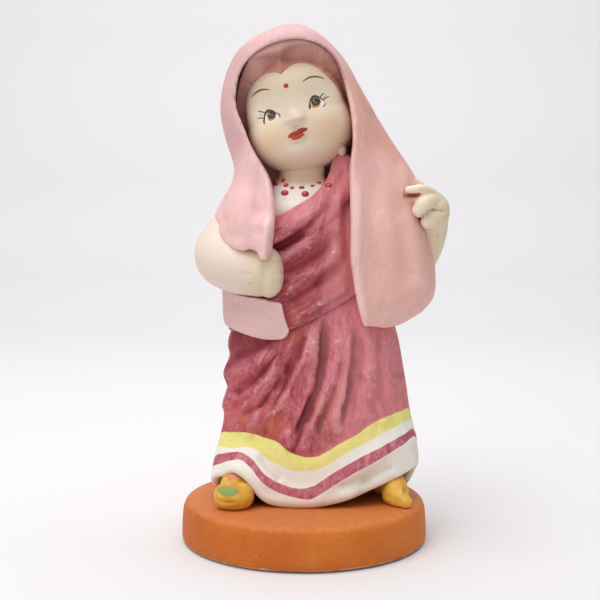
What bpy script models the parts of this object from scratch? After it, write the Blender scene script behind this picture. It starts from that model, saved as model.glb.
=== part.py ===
"""Painted bisque figurine: a girl in a sari and a veil, standing on a round plinth.

Slip-cast and hand-pressed pieces, each its own solid, luted together before firing.
Frame: +Z up, the girl faces -Y, origin under the middle of the plinth's felt pad.
Her right hand is at -X. All lengths are metres; MM turns millimetres into them.
"""

import math

import bmesh
import bpy
from mathutils import Matrix, Vector

MM = 0.001

# Driving dimensions
PLINTH_RADIUS = 40 * MM
PLINTH_TOP = 13.5 * MM
PAD_THICKNESS = 1 * MM
GAP = 0.3 * MM  # slip joint left between two neighbouring pieces
WALL = 4 * MM  # wall of the hollow castings
WRAP_LIFT = 1.2 * MM  # how far the wrapped sari stands out over the skirt
BODY_SIDES, BODY_STEPS = 36, 18
VEIL_SIDES, VEIL_STEPS = 36, 18
FIGURE_FOOT = PLINTH_TOP + GAP

HEAD_CENTRE = Vector((-1.9, 0, 137.3)) * MM
HEAD_LEAN = math.radians(-15)  # the crown leans to her right, towards -X
HEAD_TURN = math.radians(-5)  # the face looks a little to her right
HEAD_RADII = Vector((16.4, 16.2, 18.2)) * MM

TAIL_FOOT = 68.5 * MM  # lower edge of the veil at her right side
VEIL_FOOT = 71.5 * MM  # lower edge of the veil behind her and at her left
HOOD_FOOT = 120 * MM  # where the hood meets the veil's shoulders
WRAP_POINT = Vector((3, 0, 76)) * MM  # a point on the sari's slanting waist wrap
WRAP_SLOPE = math.radians(30)
NECKLINE_POINT = Vector((0, 0, 109)) * MM  # a point on the slanting neckline
NECKLINE_SLOPE = math.radians(25)

# Horizontal sections of the clothed body: height, then left, right, front and back in mm.
BODY_SECTIONS = [
    (13.8, -28.0, 33.0, -14.6, 15.5),
    (19.0, -29.6, 34.6, -15.8, 16.8),
    (26.0, -29.5, 36.9, -16.6, 17.8),
    (33.0, -27.4, 36.9, -16.6, 18.0),
    (40.0, -26.5, 35.0, -16.2, 17.6),
    (47.0, -25.0, 33.7, -15.8, 17.2),
    (53.0, -26.0, 32.8, -15.5, 17.0),
    (60.0, -24.7, 31.6, -15.2, 16.6),
    (70.0, -23.4, 29.6, -14.8, 15.8),
    (80.0, -20.8, 24.8, -14.0, 14.6),
    (90.0, -18.6, 20.5, -13.4, 13.6),
    (100.0, -18.0, 19.0, -13.0, 12.8),
    (108.0, -17.4, 18.6, -11.2, 11.6),
    (113.0, -13.4, 14.8, -9.2, 10.0),
    (117.0, -9.0, 9.4, -7.6, 8.8),
    (121.0, -7.8, 7.8, -6.8, 8.2),
]

# Horizontal sections of the draped veil, measured the same way.
VEIL_SECTIONS = [
    (66.0, -24.6, 27.0, -17.6, 19.6),
    (71.5, -26.0, 33.0, -18.4, 20.4),
    (75.0, -26.3, 38.6, -18.8, 20.8),
    (80.0, -26.4, 42.0, -19.0, 21.0),
    (88.0, -27.2, 42.2, -19.4, 21.0),
    (97.0, -28.6, 40.6, -20.0, 20.5),
    (104.0, -29.0, 38.4, -19.8, 20.0),
    (110.0, -27.0, 37.0, -18.4, 19.4),
    (116.0, -24.3, 35.6, -17.0, 19.0),
    (122.0, -23.1, 32.2, -16.2, 19.5),
    (130.0, -25.2, 28.0, -16.0, 20.5),
    (139.0, -26.9, 23.0, -15.8, 21.0),
    (148.0, -25.9, 17.8, -15.0, 20.0),
    (156.0, -22.1, 13.0, -13.6, 16.6),
    (161.6, -16.2, 7.6, -11.0, 12.0),
    (165.0, -8.4, 2.4, -6.6, 6.8),
    (166.2, -4.2, -0.8, -2.6, 2.6),
]

COLOURS = {
    "felt": ((0.16, 0.16, 0.18), 1.0),
    "terracotta": ((0.58, 0.21, 0.07), 0.75),
    "shoe_yellow": ((0.78, 0.48, 0.06), 0.7),
    "sari_rose": ((0.46, 0.13, 0.15), 0.75),
    "choli_white": ((0.84, 0.80, 0.72), 0.7),
    "skin_cream": ((0.80, 0.70, 0.56), 0.65),
    "hair_brown": ((0.36, 0.17, 0.13), 0.75),
    "veil_pink": ((0.78, 0.50, 0.48), 0.75),
    "bead_red": ((0.50, 0.01, 0.02), 0.25),
}


# ---------------------------------------------------------------- scene helpers

def clear_scene():
    for old in list(bpy.data.objects):
        bpy.data.objects.remove(old)


def finish_of(name):
    """The Principled material of that name, made on first use."""
    found = bpy.data.materials.get(name)
    if found:
        return found
    colour, roughness = COLOURS[name]
    made = bpy.data.materials.new(name)
    made.use_nodes = True
    shader = made.node_tree.nodes["Principled BSDF"]
    shader.inputs["Base Color"].default_value = (*colour, 1)
    shader.inputs["Roughness"].default_value = roughness
    shader.inputs["Metallic"].default_value = 0
    return made


def object_from(bm, name, finish=None):
    """Turns a bmesh into a linked object, smooth but for its sharp edges."""
    bmesh.ops.recalc_face_normals(bm, faces=bm.faces)
    mesh = bpy.data.meshes.new(name)
    bm.to_mesh(mesh)
    bm.free()
    mesh.shade_smooth()
    mesh.set_sharp_from_angle(angle=math.radians(40))
    made = bpy.data.objects.new(name, mesh)
    bpy.context.scene.collection.objects.link(made)
    if finish:
        mesh.materials.append(finish_of(finish))
    return made


def as_guide(obj):
    """Marks a cutter, which the model doesn't show."""
    obj.hide_render = True
    obj.display_type = "WIRE"
    return obj


def baked(obj):
    """The object's mesh with its modifiers applied, as a bmesh."""
    graph = bpy.context.evaluated_depsgraph_get()
    bm = bmesh.new()
    bm.from_object(obj, graph)
    return bm


def cut(obj, *cutters, operation="DIFFERENCE", solver="EXACT"):
    """Cuts each cutter from the object, or joins each to it."""
    for cutter in cutters:
        boolean = obj.modifiers.new(cutter.name, "BOOLEAN")
        boolean.operation = operation
        boolean.solver = solver
        boolean.object = cutter
    return obj


def clearance(obj, grow=GAP):
    """A hidden copy of the object, grown by the slip joint, that cuts its neighbours."""
    bm = baked(obj)
    bm.normal_update()
    for vertex, normal in [(v, v.normal.copy()) for v in bm.verts]:
        vertex.co += normal * grow
    return as_guide(object_from(bm, obj.name + "_clearance"))


def half_space(name, point, direction):
    """A large hidden block that fills everything from point onwards in direction."""
    size = 400 * MM
    bm = bmesh.new()
    bmesh.ops.create_cube(bm, size=size)
    turn = direction.normalized().to_track_quat("Z", "Y").to_matrix().to_4x4()
    centre = point + direction.normalized() * size / 2
    bmesh.ops.transform(bm, matrix=Matrix.Translation(centre) @ turn, verts=bm.verts)
    return as_guide(object_from(bm, name))


# ---------------------------------------------------------------- shape helpers

def catmull_rom(before, start, end, after, t):
    """Smooth value between start and end, at t from 0 to 1."""
    a = 2 * start
    b = end - before
    c = 2 * before - 5 * start + 4 * end - after
    d = 3 * (start - end) + after - before
    return (a + b * t + c * t * t + d * t * t * t) / 2


def smooth_between(keys, count):
    """count + 1 rows read from a smooth curve through the key rows."""
    rows = []
    last = len(keys) - 1
    for step in range(count + 1):
        place = step / count * last
        i = min(int(place), last - 1)
        around = [keys[max(i - 1, 0)], keys[i], keys[i + 1], keys[min(i + 2, last)]]
        rows.append([catmull_rom(*values, place - i) for values in zip(*around)])
    return rows


def ring_of(section, count, squareness, inset=0.0):
    """Points round a horizontal section, as a superellipse between its four sides."""
    z, left, right, front, back = [value * MM for value in section]
    middle = Vector(((left + right) / 2, (front + back) / 2, z))
    half = Vector(((right - left) / 2 - inset, (back - front) / 2 - inset))
    points = []
    for i in range(count):
        angle = 2 * math.pi * i / count
        c, s = math.cos(angle), math.sin(angle)
        x = half.x * math.copysign(abs(c) ** (2 / squareness), c)
        y = half.y * math.copysign(abs(s) ** (2 / squareness), s)
        points.append(middle + Vector((x, y, 0)))
    return points


def loft(rings):
    """A closed bmesh through rings of equal length, capped at both ends."""
    bm = bmesh.new()
    loops = [[bm.verts.new(point) for point in ring] for ring in rings]
    count = len(loops[0])
    for lower, upper in zip(loops, loops[1:]):
        for i in range(count):
            j = (i + 1) % count
            bm.faces.new((lower[i], lower[j], upper[j], upper[i]))
    bm.faces.new(reversed(loops[0]))
    bm.faces.new(loops[-1])
    bmesh.ops.triangulate(bm, faces=bm.faces)
    return bm


def tube(stations, sides=16, steps=12, flat=1.0):
    """A round-ended limb through (x, y, z, radius) stations in mm.

    flat is its thickness along the section's second axis, as a share of the first.
    """
    rows = smooth_between(stations, steps)
    centres = [Vector(row[:3]) * MM for row in rows]
    radii = [row[3] * MM for row in rows]
    first = (centres[1] - centres[0]).normalized()
    side = first.orthogonal().normalized()
    bm = bmesh.new()
    loops = []
    for i, (centre, radius) in enumerate(zip(centres, radii)):
        ahead = (centres[min(i + 1, steps)] - centres[max(i - 1, 0)]).normalized()
        side = (side - ahead * side.dot(ahead)).normalized()
        other = ahead.cross(side) * flat
        ends = [(0.0, 1.0)]
        if i == 0:
            ends = [(-0.85, 0.5), (-0.5, 0.85), (0.0, 1.0)]
        if i == steps:
            ends = [(0.0, 1.0), (0.5, 0.85), (0.85, 0.5)]
        for along, share in ends:
            middle = centre + ahead * radius * along
            loop = []
            for k in range(sides):
                angle = 2 * math.pi * k / sides
                offset = side * math.cos(angle) + other * math.sin(angle)
                loop.append(bm.verts.new(middle + offset * radius * share))
            loops.append(loop)
    for lower, upper in zip(loops, loops[1:]):
        for k in range(sides):
            j = (k + 1) % sides
            bm.faces.new((lower[k], lower[j], upper[j], upper[k]))
    bm.faces.new(reversed(loops[0]))
    bm.faces.new(loops[-1])
    return bm


def ellipsoid(centre, radii, segments=24, rings=16, turn=None):
    """A ball stretched to three radii, then turned about its centre."""
    bm = bmesh.new()
    bmesh.ops.create_uvsphere(bm, u_segments=segments, v_segments=rings, radius=1)
    matrix = Matrix.Translation(centre) @ (turn or Matrix()) @ Matrix.Diagonal((*radii, 1))
    bmesh.ops.transform(bm, matrix=matrix, verts=bm.verts)
    return bm


def cylinder(centre, direction, radii, depth, segments=32):
    """An elliptical cylinder: radii are across and up when it lies along Y."""
    bm = bmesh.new()
    bmesh.ops.create_cone(
        bm, cap_ends=True, segments=segments, radius1=1, radius2=1, depth=depth
    )
    turn = direction.to_track_quat("Z", "Y").to_matrix().to_4x4()
    stretch = Matrix.Diagonal((radii[0], radii[1], 1, 1))
    matrix = Matrix.Translation(centre) @ turn @ stretch
    bmesh.ops.transform(bm, matrix=matrix, verts=bm.verts)
    return bm


def turned(profile, segments=48):
    """A solid of revolution about Z from (radius, height) corners in mm."""
    bm = bmesh.new()
    corners = [bm.verts.new((r * MM, 0, z * MM)) for r, z in profile]
    edges = [bm.edges.new(pair) for pair in zip(corners, corners[1:])]
    bmesh.ops.spin(
        bm, geom=corners + edges, axis=(0, 0, 1), cent=(0, 0, 0),
        angle=2 * math.pi, steps=segments, use_merge=True,
    )
    bmesh.ops.remove_doubles(bm, verts=bm.verts, dist=0.01 * MM)
    return bm


def head_frame():
    """From head space, with its own right, back and crown, to the figure's frame."""
    lean = Matrix.Rotation(HEAD_LEAN, 4, "Y")
    look = Matrix.Rotation(HEAD_TURN, 4, "Z")
    return Matrix.Translation(HEAD_CENTRE) @ lean @ look


# ---------------------------------------------------------------- plinth and feet

def make_felt_pad():
    bm = turned([(0, 0), (37.5, 0), (37.5, 1), (0, 1)])
    return object_from(bm, "felt_pad", "felt")


def make_plinth():
    """Turned disc with a hollow underside, a vent hole and a softened top edge."""
    foot = PAD_THICKNESS / MM + GAP / MM
    top = PLINTH_TOP / MM
    radius = PLINTH_RADIUS / MM
    profile = [
        (4, foot + 4), (32, foot + 4), (33, foot), (radius - 0.6, foot),
        (radius, foot + 0.6), (radius - 0.9, top - 3.2), (radius - 1.5, top - 1.3),
        (radius - 3.0, top - 0.3), (radius - 5.0, top), (4, top), (4, foot + 4),
    ]
    return object_from(turned(profile), "plinth", "terracotta")


def make_shoe(name, centre, radii, toe_out):
    """A plump slipper, flat underneath, its toe turned out by toe_out."""
    turn = Matrix.Rotation(toe_out, 4, "Z")
    shoe = object_from(ellipsoid(centre, radii, 20, 12, turn), name, "shoe_yellow")
    floor = Vector((0, 0, FIGURE_FOOT))
    return cut(shoe, half_space(name + "_floor", floor, Vector((0, 0, -1))))


def make_shoes():
    right = make_shoe(
        "shoe_right", Vector((-22.2, -10.6, 16.6)) * MM, Vector((6.5, 10.6, 7.0)) * MM,
        math.radians(-6),
    )
    left = make_shoe(
        "shoe_left", Vector((28.6, -8.4, 16.4)) * MM, Vector((6.4, 10.8, 6.6)) * MM,
        math.radians(24),
    )
    return right, left


# ---------------------------------------------------------------- clothed body

def hem_height(point):
    """How far the hem is lifted at a point: arched over each shoe, down elsewhere."""
    x, y = point.x / MM, point.y / MM
    front = min(1.0, max(0.0, (5 - y) / 8))
    over_right = 10.0 * math.exp(-(((x + 21.5) / 7.6) ** 2))
    over_left = 10.6 * math.exp(-(((x - 33.0) / 14.5) ** 2))
    return front * (over_right + over_left) * MM


def body_rings(inset, count, steps):
    """Rings up the body. The hem's arches fade out over the skirt's lowest part."""
    fade_top = 44 * MM
    rings = []
    for row in smooth_between(BODY_SECTIONS, steps):
        ring = ring_of(row, count, 2.25, inset)
        for point in ring:
            fade = max(0.0, 1 - (point.z - FIGURE_FOOT) / (fade_top - FIGURE_FOOT))
            point.z += hem_height(point) * fade
        rings.append(ring)
    return rings


def make_cavity():
    """The hollow that the poured slip leaves inside the body, open under the hem."""
    rings = body_rings(WALL, 20, 12)
    below = [point - Vector((0, 0, 20 * MM)) for point in rings[0]]
    kept = [below] + rings[:-2]
    return as_guide(object_from(loft(kept), "body_cavity"))


def make_body_block(name, finish, inset=0.0):
    return object_from(loft(body_rings(inset, BODY_SIDES, BODY_STEPS)), name, finish)


def slanting(name, point, slope, upwards):
    """A half space above or below a plane that rises towards her left."""
    up = Vector((-math.sin(slope), 0, math.cos(slope)))
    sign = 1 if upwards else -1
    return half_space(name, point - up * GAP / 2 * sign, up * sign)


def make_body(shoes, head_space, arms_space, pallu_space, hand_space):
    """Skirt, torso and bust: one clothed body parted at the wrap and the neckline."""
    cavity = make_cavity()
    shoe_space = [clearance(shoe) for shoe in shoes]
    above_wrap = slanting("above_wrap", WRAP_POINT, WRAP_SLOPE, True)
    below_wrap = slanting("below_wrap", WRAP_POINT, WRAP_SLOPE, False)
    above_neckline = slanting("above_neckline", NECKLINE_POINT, NECKLINE_SLOPE, True)
    below_neckline = slanting("below_neckline", NECKLINE_POINT, NECKLINE_SLOPE, False)

    skirt = make_body_block("skirt", "sari_rose")
    cut(skirt, above_wrap, cavity, *shoe_space)

    torso = make_body_block("torso", "sari_rose", -WRAP_LIFT)
    cut(torso, below_wrap, above_neckline, cavity, pallu_space, hand_space, *arms_space)

    bust = make_body_block("bust", "choli_white")
    neck_bore = as_guide(object_from(
        cylinder(Vector((0, 0.5, 110)) * MM, Vector((0, 0, 1)), (4 * MM, 4 * MM), 60 * MM),
        "neck_bore",
    ))
    cut(bust, below_neckline, cavity, neck_bore, head_space, pallu_space, *arms_space)
    return skirt, torso, bust


def make_pallu():
    """The sari's loose end: a thick band from her right side over her left shoulder."""
    stations = [
        (-15.0, -10.2, 100.0, 3.4), (-9.0, -12.6, 101.0, 4.2), (-1.0, -12.9, 104.4, 4.4),
        (6.0, -11.6, 109.2, 4.2), (10.5, -8.4, 114.2, 3.6), (11.5, -3.0, 116.6, 3.2),
    ]
    return object_from(tube(stations, sides=14, steps=12, flat=0.8), "pallu", "sari_rose")


# ---------------------------------------------------------------- arms and hands

def joined(name, finish, shapes):
    """One solid from several overlapping shapes."""
    main = object_from(shapes[0], name, finish)
    for number, shape in enumerate(shapes[1:]):
        part = as_guide(object_from(shape, f"{name}_part_{number}"))
        cut(main, part, operation="UNION")
    return main


def make_arms():
    """Two plump bent arms, each an upper arm and a forearm in one piece."""
    right = joined("arm_right", "skin_cream", [
        tube([(-16.5, 1.0, 107.0, 6.6), (-22.5, -1.5, 99.0, 8.0), (-25.4, -5.5, 92.6, 8.6)], 16, 6),
        tube([(-25.2, -6.0, 91.8, 8.7), (-20.6, -11.4, 88.8, 8.3), (-14.5, -14.6, 87.6, 7.3)], 16, 6),
    ])
    left = joined("arm_left", "skin_cream", [
        tube([(17.5, 3.0, 107.0, 6.6), (27.0, 4.0, 97.0, 6.8), (35.2, 2.8, 92.0, 6.8)], 14, 6),
        tube([(35.6, 2.0, 91.8, 6.7), (38.8, -2.2, 96.4, 6.2), (39.6, -5.4, 101.4, 5.6)], 14, 6),
    ])
    return right, left


def make_hands(arms):
    """Each hand is a rounded palm with fingers that grip the veil's edge."""
    right_arm, left_arm = arms
    right = joined("hand_right", "skin_cream", [
        ellipsoid(Vector((-10.4, -17.0, 87.8)) * MM, Vector((5.0, 5.6, 7.0)) * MM, 16, 10),
        tube([(-10.6, -20.6, 89.5, 2.3), (-12.0, -22.6, 92.4, 2.0), (-13.4, -22.2, 95.2, 1.7)], 8, 4),
        tube([(-8.2, -20.4, 90.0, 2.2), (-9.0, -22.3, 93.0, 2.0), (-10.4, -22.2, 95.6, 1.7)], 8, 4),
    ])
    left = joined("hand_left", "skin_cream", [
        ellipsoid(Vector((40.0, -9.4, 107.6)) * MM, Vector((5.2, 6.2, 6.8)) * MM, 16, 10),
        tube([(39.0, -12.6, 112.6, 2.5), (35.6, -16.0, 114.4, 2.2), (32.4, -17.4, 114.6, 1.8)], 8, 4),
        tube([(39.2, -14.4, 108.8, 2.4), (36.6, -17.2, 108.6, 2.2), (34.6, -17.0, 107.4, 2.0)], 8, 4),
        tube([(39.6, -14.0, 104.6, 2.4), (37.2, -16.4, 104.2, 2.1), (35.6, -16.0, 103.2, 1.8)], 8, 4),
    ])
    cut(right, clearance(right_arm))
    cut(left, clearance(left_arm))
    return right, left


# ---------------------------------------------------------------- head and hair

def make_head():
    """Round, full-cheeked hollow head with a button nose, open at the neck."""
    bm = bmesh.new()
    bmesh.ops.create_uvsphere(bm, u_segments=24, v_segments=16, radius=1)
    for vertex in bm.verts:
        low = max(0.0, -vertex.co.z)
        cheek = 1 + 0.10 * math.sin(math.pi * min(low, 1.0))
        vertex.co.x *= cheek
    bmesh.ops.transform(
        bm, matrix=head_frame() @ Matrix.Diagonal((*HEAD_RADII, 1)), verts=bm.verts
    )
    head = object_from(bm, "head", "skin_cream")
    nose = as_guide(object_from(
        ellipsoid(head_frame() @ (Vector((0, -16.4, -1.0)) * MM), Vector((1.9, 2.0, 2.0)) * MM, 10, 6),
        "nose_shape",
    ))
    hollow = as_guide(object_from(
        ellipsoid(
            HEAD_CENTRE, HEAD_RADII - Vector((WALL, WALL, WALL)), 16, 10, head_frame().to_3x3().to_4x4()
        ),
        "head_hollow",
    ))
    neck_hole = as_guide(object_from(
        cylinder(
            Vector((0, 0.5, 118)) * MM, Vector((0, 0, 1)), (5 * MM, 5 * MM), 30 * MM, 20
        ),
        "neck_hole",
    ))
    cut(head, nose, operation="UNION")
    return cut(head, hollow, neck_hole)


def solid_head():
    """The head's outside as a plain ball, for cutting what fits round it."""
    radii = HEAD_RADII + Vector((1, 1, 1)) * GAP
    bm = bmesh.new()
    bmesh.ops.create_uvsphere(bm, u_segments=24, v_segments=16, radius=1)
    for vertex in bm.verts:
        low = max(0.0, -vertex.co.z)
        cheek = 1 + 0.10 * math.sin(math.pi * min(low, 1.0))
        vertex.co.x *= cheek
    bmesh.ops.transform(
        bm, matrix=head_frame() @ Matrix.Diagonal((*radii, 1)), verts=bm.verts
    )
    return as_guide(object_from(bm, "head_space"))


def hair_ball(grow=0.0):
    radii = Vector((19.0, 18.6, 20.4)) * MM + Vector((1, 1, 1)) * grow
    centre = head_frame() @ (Vector((0, 1.2, 2.4)) * MM)
    return ellipsoid(centre, radii, 24, 16, head_frame().to_3x3().to_4x4())


def make_hair(head_space):
    """The hair: a cap over the crown and nape, parted in the middle of the brow."""
    hair = object_from(hair_ball(), "hair", "hair_brown")
    frame = head_frame()
    ahead = frame.to_3x3() @ Vector((0, 1, 0))
    lobes = []
    for side in (-1, 1):
        lobes.append(as_guide(object_from(
            cylinder(
                frame @ (Vector((side * 4.0, -16, 3.0)) * MM), ahead, (11.6 * MM, 12.0 * MM),
                32 * MM, 28,
            ),
            f"face_lobe_{side}",
        )))
    lower = half_space("below_hair", frame @ (Vector((0, 0, -2.0)) * MM), frame.to_3x3() @ Vector((0, -0.6, -1)))
    return cut(hair, head_space, *lobes, lower, solver="MANIFOLD")


# ---------------------------------------------------------------- veil

def make_veil_block(name):
    rows = smooth_between(VEIL_SECTIONS, VEIL_STEPS)
    rings = [ring_of(row, VEIL_SIDES, 2.3) for row in rows]
    return object_from(loft(rings), name, "veil_pink")


def veil_openings():
    """The oval round the face, and the long gap that widens down the front."""
    ahead = Vector((0, 1, 0))
    oval = as_guide(object_from(
        cylinder(Vector((-3.2, -21, 138.4)) * MM, ahead, (18.2 * MM, 21.4 * MM), 44 * MM, 40),
        "face_oval",
    ))
    left_edge = [(-4.6, 60), (-8.0, 80), (-9.4, 97), (-9.0, 112), (-11.4, 124)]
    right_edge = [(20.5, 60), (15.6, 83), (14.2, 100), (14.4, 112), (14.4, 124)]
    outline = left_edge + right_edge[::-1]
    bm = bmesh.new()
    front = bm.faces.new([bm.verts.new((x * MM, -45 * MM, z * MM)) for x, z in outline])
    swept = bmesh.ops.extrude_face_region(bm, geom=[front])
    moved = [v for v in swept["geom"] if isinstance(v, bmesh.types.BMVert)]
    bmesh.ops.translate(bm, vec=(0, 46 * MM, 0), verts=moved)
    return oval, as_guide(object_from(bm, "front_gap"))


def make_veil(inside):
    """Hood, two front panels, the tail under her right arm, and the back."""
    openings = veil_openings()
    down, up = Vector((0, 0, -1)), Vector((0, 0, 1))
    over_hood = half_space("over_hood_foot", Vector((0, 0, HOOD_FOOT - GAP / 2)), up)
    under_hood = half_space("under_hood_foot", Vector((0, 0, HOOD_FOOT + GAP / 2)), down)
    under_veil = half_space("under_veil", Vector((0, 0, VEIL_FOOT)), down)
    under_tail = half_space("under_tail", Vector((0, 0, TAIL_FOOT)), down)
    split_y = 3 * MM
    behind = half_space("behind", Vector((0, split_y - GAP / 2, 0)), Vector((0, 1, 0)))
    ahead = half_space("ahead", Vector((0, split_y + GAP / 2, 0)), Vector((0, -1, 0)))
    her_left = half_space("her_left", Vector((3 * MM, 0, 0)), Vector((1, 0, 0)))
    her_right = half_space("her_right", Vector((3 * MM, 0, 0)), Vector((-1, 0, 0)))
    elbow = 92.3 * MM
    over_elbow = half_space("over_elbow", Vector((0, 0, elbow - GAP / 2)), up)
    under_elbow = half_space("under_elbow", Vector((0, 0, elbow + GAP / 2)), down)

    hood = make_veil_block("veil_hood")
    cut(hood, under_hood, *openings, *inside["hood"])
    back = make_veil_block("veil_back")
    cut(back, over_hood, under_veil, ahead, *inside["back"], solver="MANIFOLD")
    right_panel = make_veil_block("veil_panel_right")
    cut(right_panel, over_hood, under_elbow, behind, her_left, *openings, *inside["right"])
    tail = make_veil_block("veil_tail_right")
    cut(tail, over_elbow, under_tail, behind, her_left, *openings, *inside["right"])
    left_panel = make_veil_block("veil_panel_left")
    cut(left_panel, over_hood, under_veil, behind, her_right, *openings, *inside["left"])
    return hood, back, right_panel, tail, left_panel


# ---------------------------------------------------------------- applied drops

def make_bindi():
    centre = head_frame() @ (Vector((-0.2, -16.9, 8.9)) * MM)
    shape = ellipsoid(centre, Vector((0.8, 0.6, 0.8)) * MM, 7, 5)
    return object_from(shape, "bindi", "bead_red")


def make_necklace():
    """Two rows of raised enamel drops round the throat, three of them large."""
    drops = [
        (-8.3, -11.4, 118.0, 0.7), (-6.6, -11.8, 116.9, 0.8), (-8.8, -11.8, 115.9, 1.0),
        (-5.8, -12.2, 115.5, 0.8), (-3.8, -12.4, 114.7, 0.7), (-6.2, -12.8, 113.2, 1.2),
        (-0.8, -12.6, 114.8, 0.8), (0.3, -13.2, 112.8, 1.2), (2.6, -12.4, 115.3, 0.7),
        (4.8, -11.8, 116.4, 0.7), (6.7, -11.2, 118.3, 0.9), (7.8, -12.8, 115.4, 1.2),
    ]
    for number, (x, y, z, size) in enumerate(drops, start=1):
        shape = ellipsoid(Vector((x, y, z)) * MM, Vector((size, size * 0.7, size)) * MM, 7, 5)
        object_from(shape, f"necklace_drop_{number:02d}", "bead_red")


def main():
    clear_scene()
    make_felt_pad()
    make_plinth()
    make_bindi()
    make_necklace()
    shoes = make_shoes()
    arms = make_arms()
    hands = make_hands(arms)
    head_space = solid_head()
    make_head()
    hair = make_hair(head_space)
    pallu = make_pallu()
    arms_space = [clearance(arm) for arm in arms]
    hands_space = [clearance(hand) for hand in hands]
    pallu_space = clearance(pallu)
    body_space = as_guide(object_from(loft(body_rings(-WRAP_LIFT - GAP, BODY_SIDES, BODY_STEPS)), "body_space"))
    hair_space = as_guide(object_from(hair_ball(GAP), "hair_space"))
    make_body(shoes, head_space, arms_space, pallu_space, hands_space[0])
    around_body = [body_space, pallu_space]
    make_veil({
        "hood": [head_space, hair_space, body_space],
        "back": around_body + arms_space + [hair_space],
        "right": around_body + [arms_space[0], hands_space[0], head_space, hair_space],
        "left": around_body + [arms_space[1], hands_space[1], head_space, hair_space],
    })


main()
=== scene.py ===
# %% [markdown]
# # A painted bisque figurine
#
# The object is a small ceramic girl in a sari and a veil, standing on a round plinth. On the real
# one every piece is pressed or cast in clay, luted to its neighbours, fired once and then painted
# with a brush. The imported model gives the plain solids; this script sculpts the clay surface over
# them and paints it. It could be modelled as cloth, but clay has soft edges and shallow folds, so
# it is sculpted: big forms first, then strokes of a modelling tool.

import math

import bmesh
import bpy
import numpy as np
from mathutils import Matrix, Vector
from mathutils.bvhtree import BVHTree


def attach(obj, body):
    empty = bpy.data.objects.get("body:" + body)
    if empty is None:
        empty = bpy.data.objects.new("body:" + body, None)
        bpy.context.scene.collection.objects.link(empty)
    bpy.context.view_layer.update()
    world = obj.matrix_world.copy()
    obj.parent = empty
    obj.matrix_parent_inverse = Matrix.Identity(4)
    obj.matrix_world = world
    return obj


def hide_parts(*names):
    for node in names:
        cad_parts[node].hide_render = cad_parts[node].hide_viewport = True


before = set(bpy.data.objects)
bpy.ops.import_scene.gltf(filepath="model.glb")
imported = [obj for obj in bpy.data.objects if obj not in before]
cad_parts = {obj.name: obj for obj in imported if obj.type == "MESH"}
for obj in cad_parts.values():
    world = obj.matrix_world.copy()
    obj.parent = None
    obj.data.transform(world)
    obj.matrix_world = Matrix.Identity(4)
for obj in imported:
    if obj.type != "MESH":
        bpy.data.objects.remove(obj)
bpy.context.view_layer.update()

# %% [markdown]
# The sculpting is done in millimetres, which reads better than 0.0005, and each finished piece is
# brought to metres once. The camera stands a forearm's length away, slightly above the figurine.

# %% Camera
MM = 0.001
PAINT_SEED = 7
FRONT, BACK = -1.0, 1.0

camera_data = bpy.data.cameras.new("camera")
camera_data.lens = 72
camera_data.sensor_width = 36
camera_data.clip_start = 0.01
camera = bpy.data.objects.new("camera", camera_data)
camera.location = (-0.00132, -0.3874, 0.1152)
camera.rotation_euler = (math.radians(90) - 0.095, 0, 0)
bpy.context.scene.collection.objects.link(camera)
bpy.context.scene.camera = camera
bpy.context.scene.view_settings.view_transform = "Standard"
print("camera", tuple(round(v, 3) for v in camera.location))

# %% [markdown]
# ## Light and floor
# A light tent: a pale floor that rises behind as one sweep, a large soft lamp overhead, a weaker
# one from the front left, and an even white surround. Clay that is matt wants big lamps, which
# let the folds shade softly; the small glossy drops then show one soft highlight.

# %% Floor, surround and lamps
def lamp(name, place, aim, size, power, tint=(1, 1, 1)):
    """A square lamp at place, turned towards aim."""
    data = bpy.data.lights.new(name, "AREA")
    data.size = size
    data.energy = power
    data.color = tint
    made = bpy.data.objects.new(name, data)
    made.location = place
    direction = Vector(aim) - Vector(place)
    made.rotation_euler = direction.to_track_quat("-Z", "Y").to_euler()
    bpy.context.scene.collection.objects.link(made)
    return made


def sweep_floor():
    """A floor that curves up into a backdrop."""
    bm = bmesh.new()
    profile = [(-1.5, 0), (0.55, 0), (0.72, 0.03), (0.85, 0.12), (0.92, 0.28), (0.95, 1.6)]
    corners = [bm.verts.new((-1.8, y, z)) for y, z in profile]
    edges = [bm.edges.new(pair) for pair in zip(corners, corners[1:])]
    swept = bmesh.ops.extrude_edge_only(bm, edges=edges)
    moved = [v for v in swept["geom"] if isinstance(v, bmesh.types.BMVert)]
    bmesh.ops.translate(bm, vec=(3.6, 0, 0), verts=moved)
    bmesh.ops.recalc_face_normals(bm, faces=bm.faces)
    mesh = bpy.data.meshes.new("floor")
    bm.to_mesh(mesh)
    bm.free()
    mesh.shade_smooth()
    floor = bpy.data.objects.new("floor", mesh)
    bpy.context.scene.collection.objects.link(floor)
    paper = bpy.data.materials.new("backdrop_paper")
    paper.use_nodes = True
    shader = paper.node_tree.nodes["Principled BSDF"]
    shader.inputs["Base Color"].default_value = (0.80, 0.79, 0.80, 1)
    shader.inputs["Roughness"].default_value = 0.9
    mesh.materials.append(paper)
    return floor


sweep_floor()
world = bpy.data.worlds.new("surround")
world.use_nodes = True
world.node_tree.nodes["Background"].inputs["Color"].default_value = (0.98, 0.98, 1.0, 1)
world.node_tree.nodes["Background"].inputs["Strength"].default_value = 0.46
bpy.context.scene.world = world
lamp("overhead", (-0.16, -0.22, 0.72), (0, 0, 0.08), 0.5, 2.7, (1.0, 0.985, 0.96))
lamp("front_left", (-0.50, -0.80, 0.45), (0, 0, 0.08), 0.5, 1.6, (0.98, 0.985, 1.0))
lamp("backdrop_wash", (0.0, 0.2, 0.9), (0, 0.95, 0.32), 0.8, 4.7)

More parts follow.
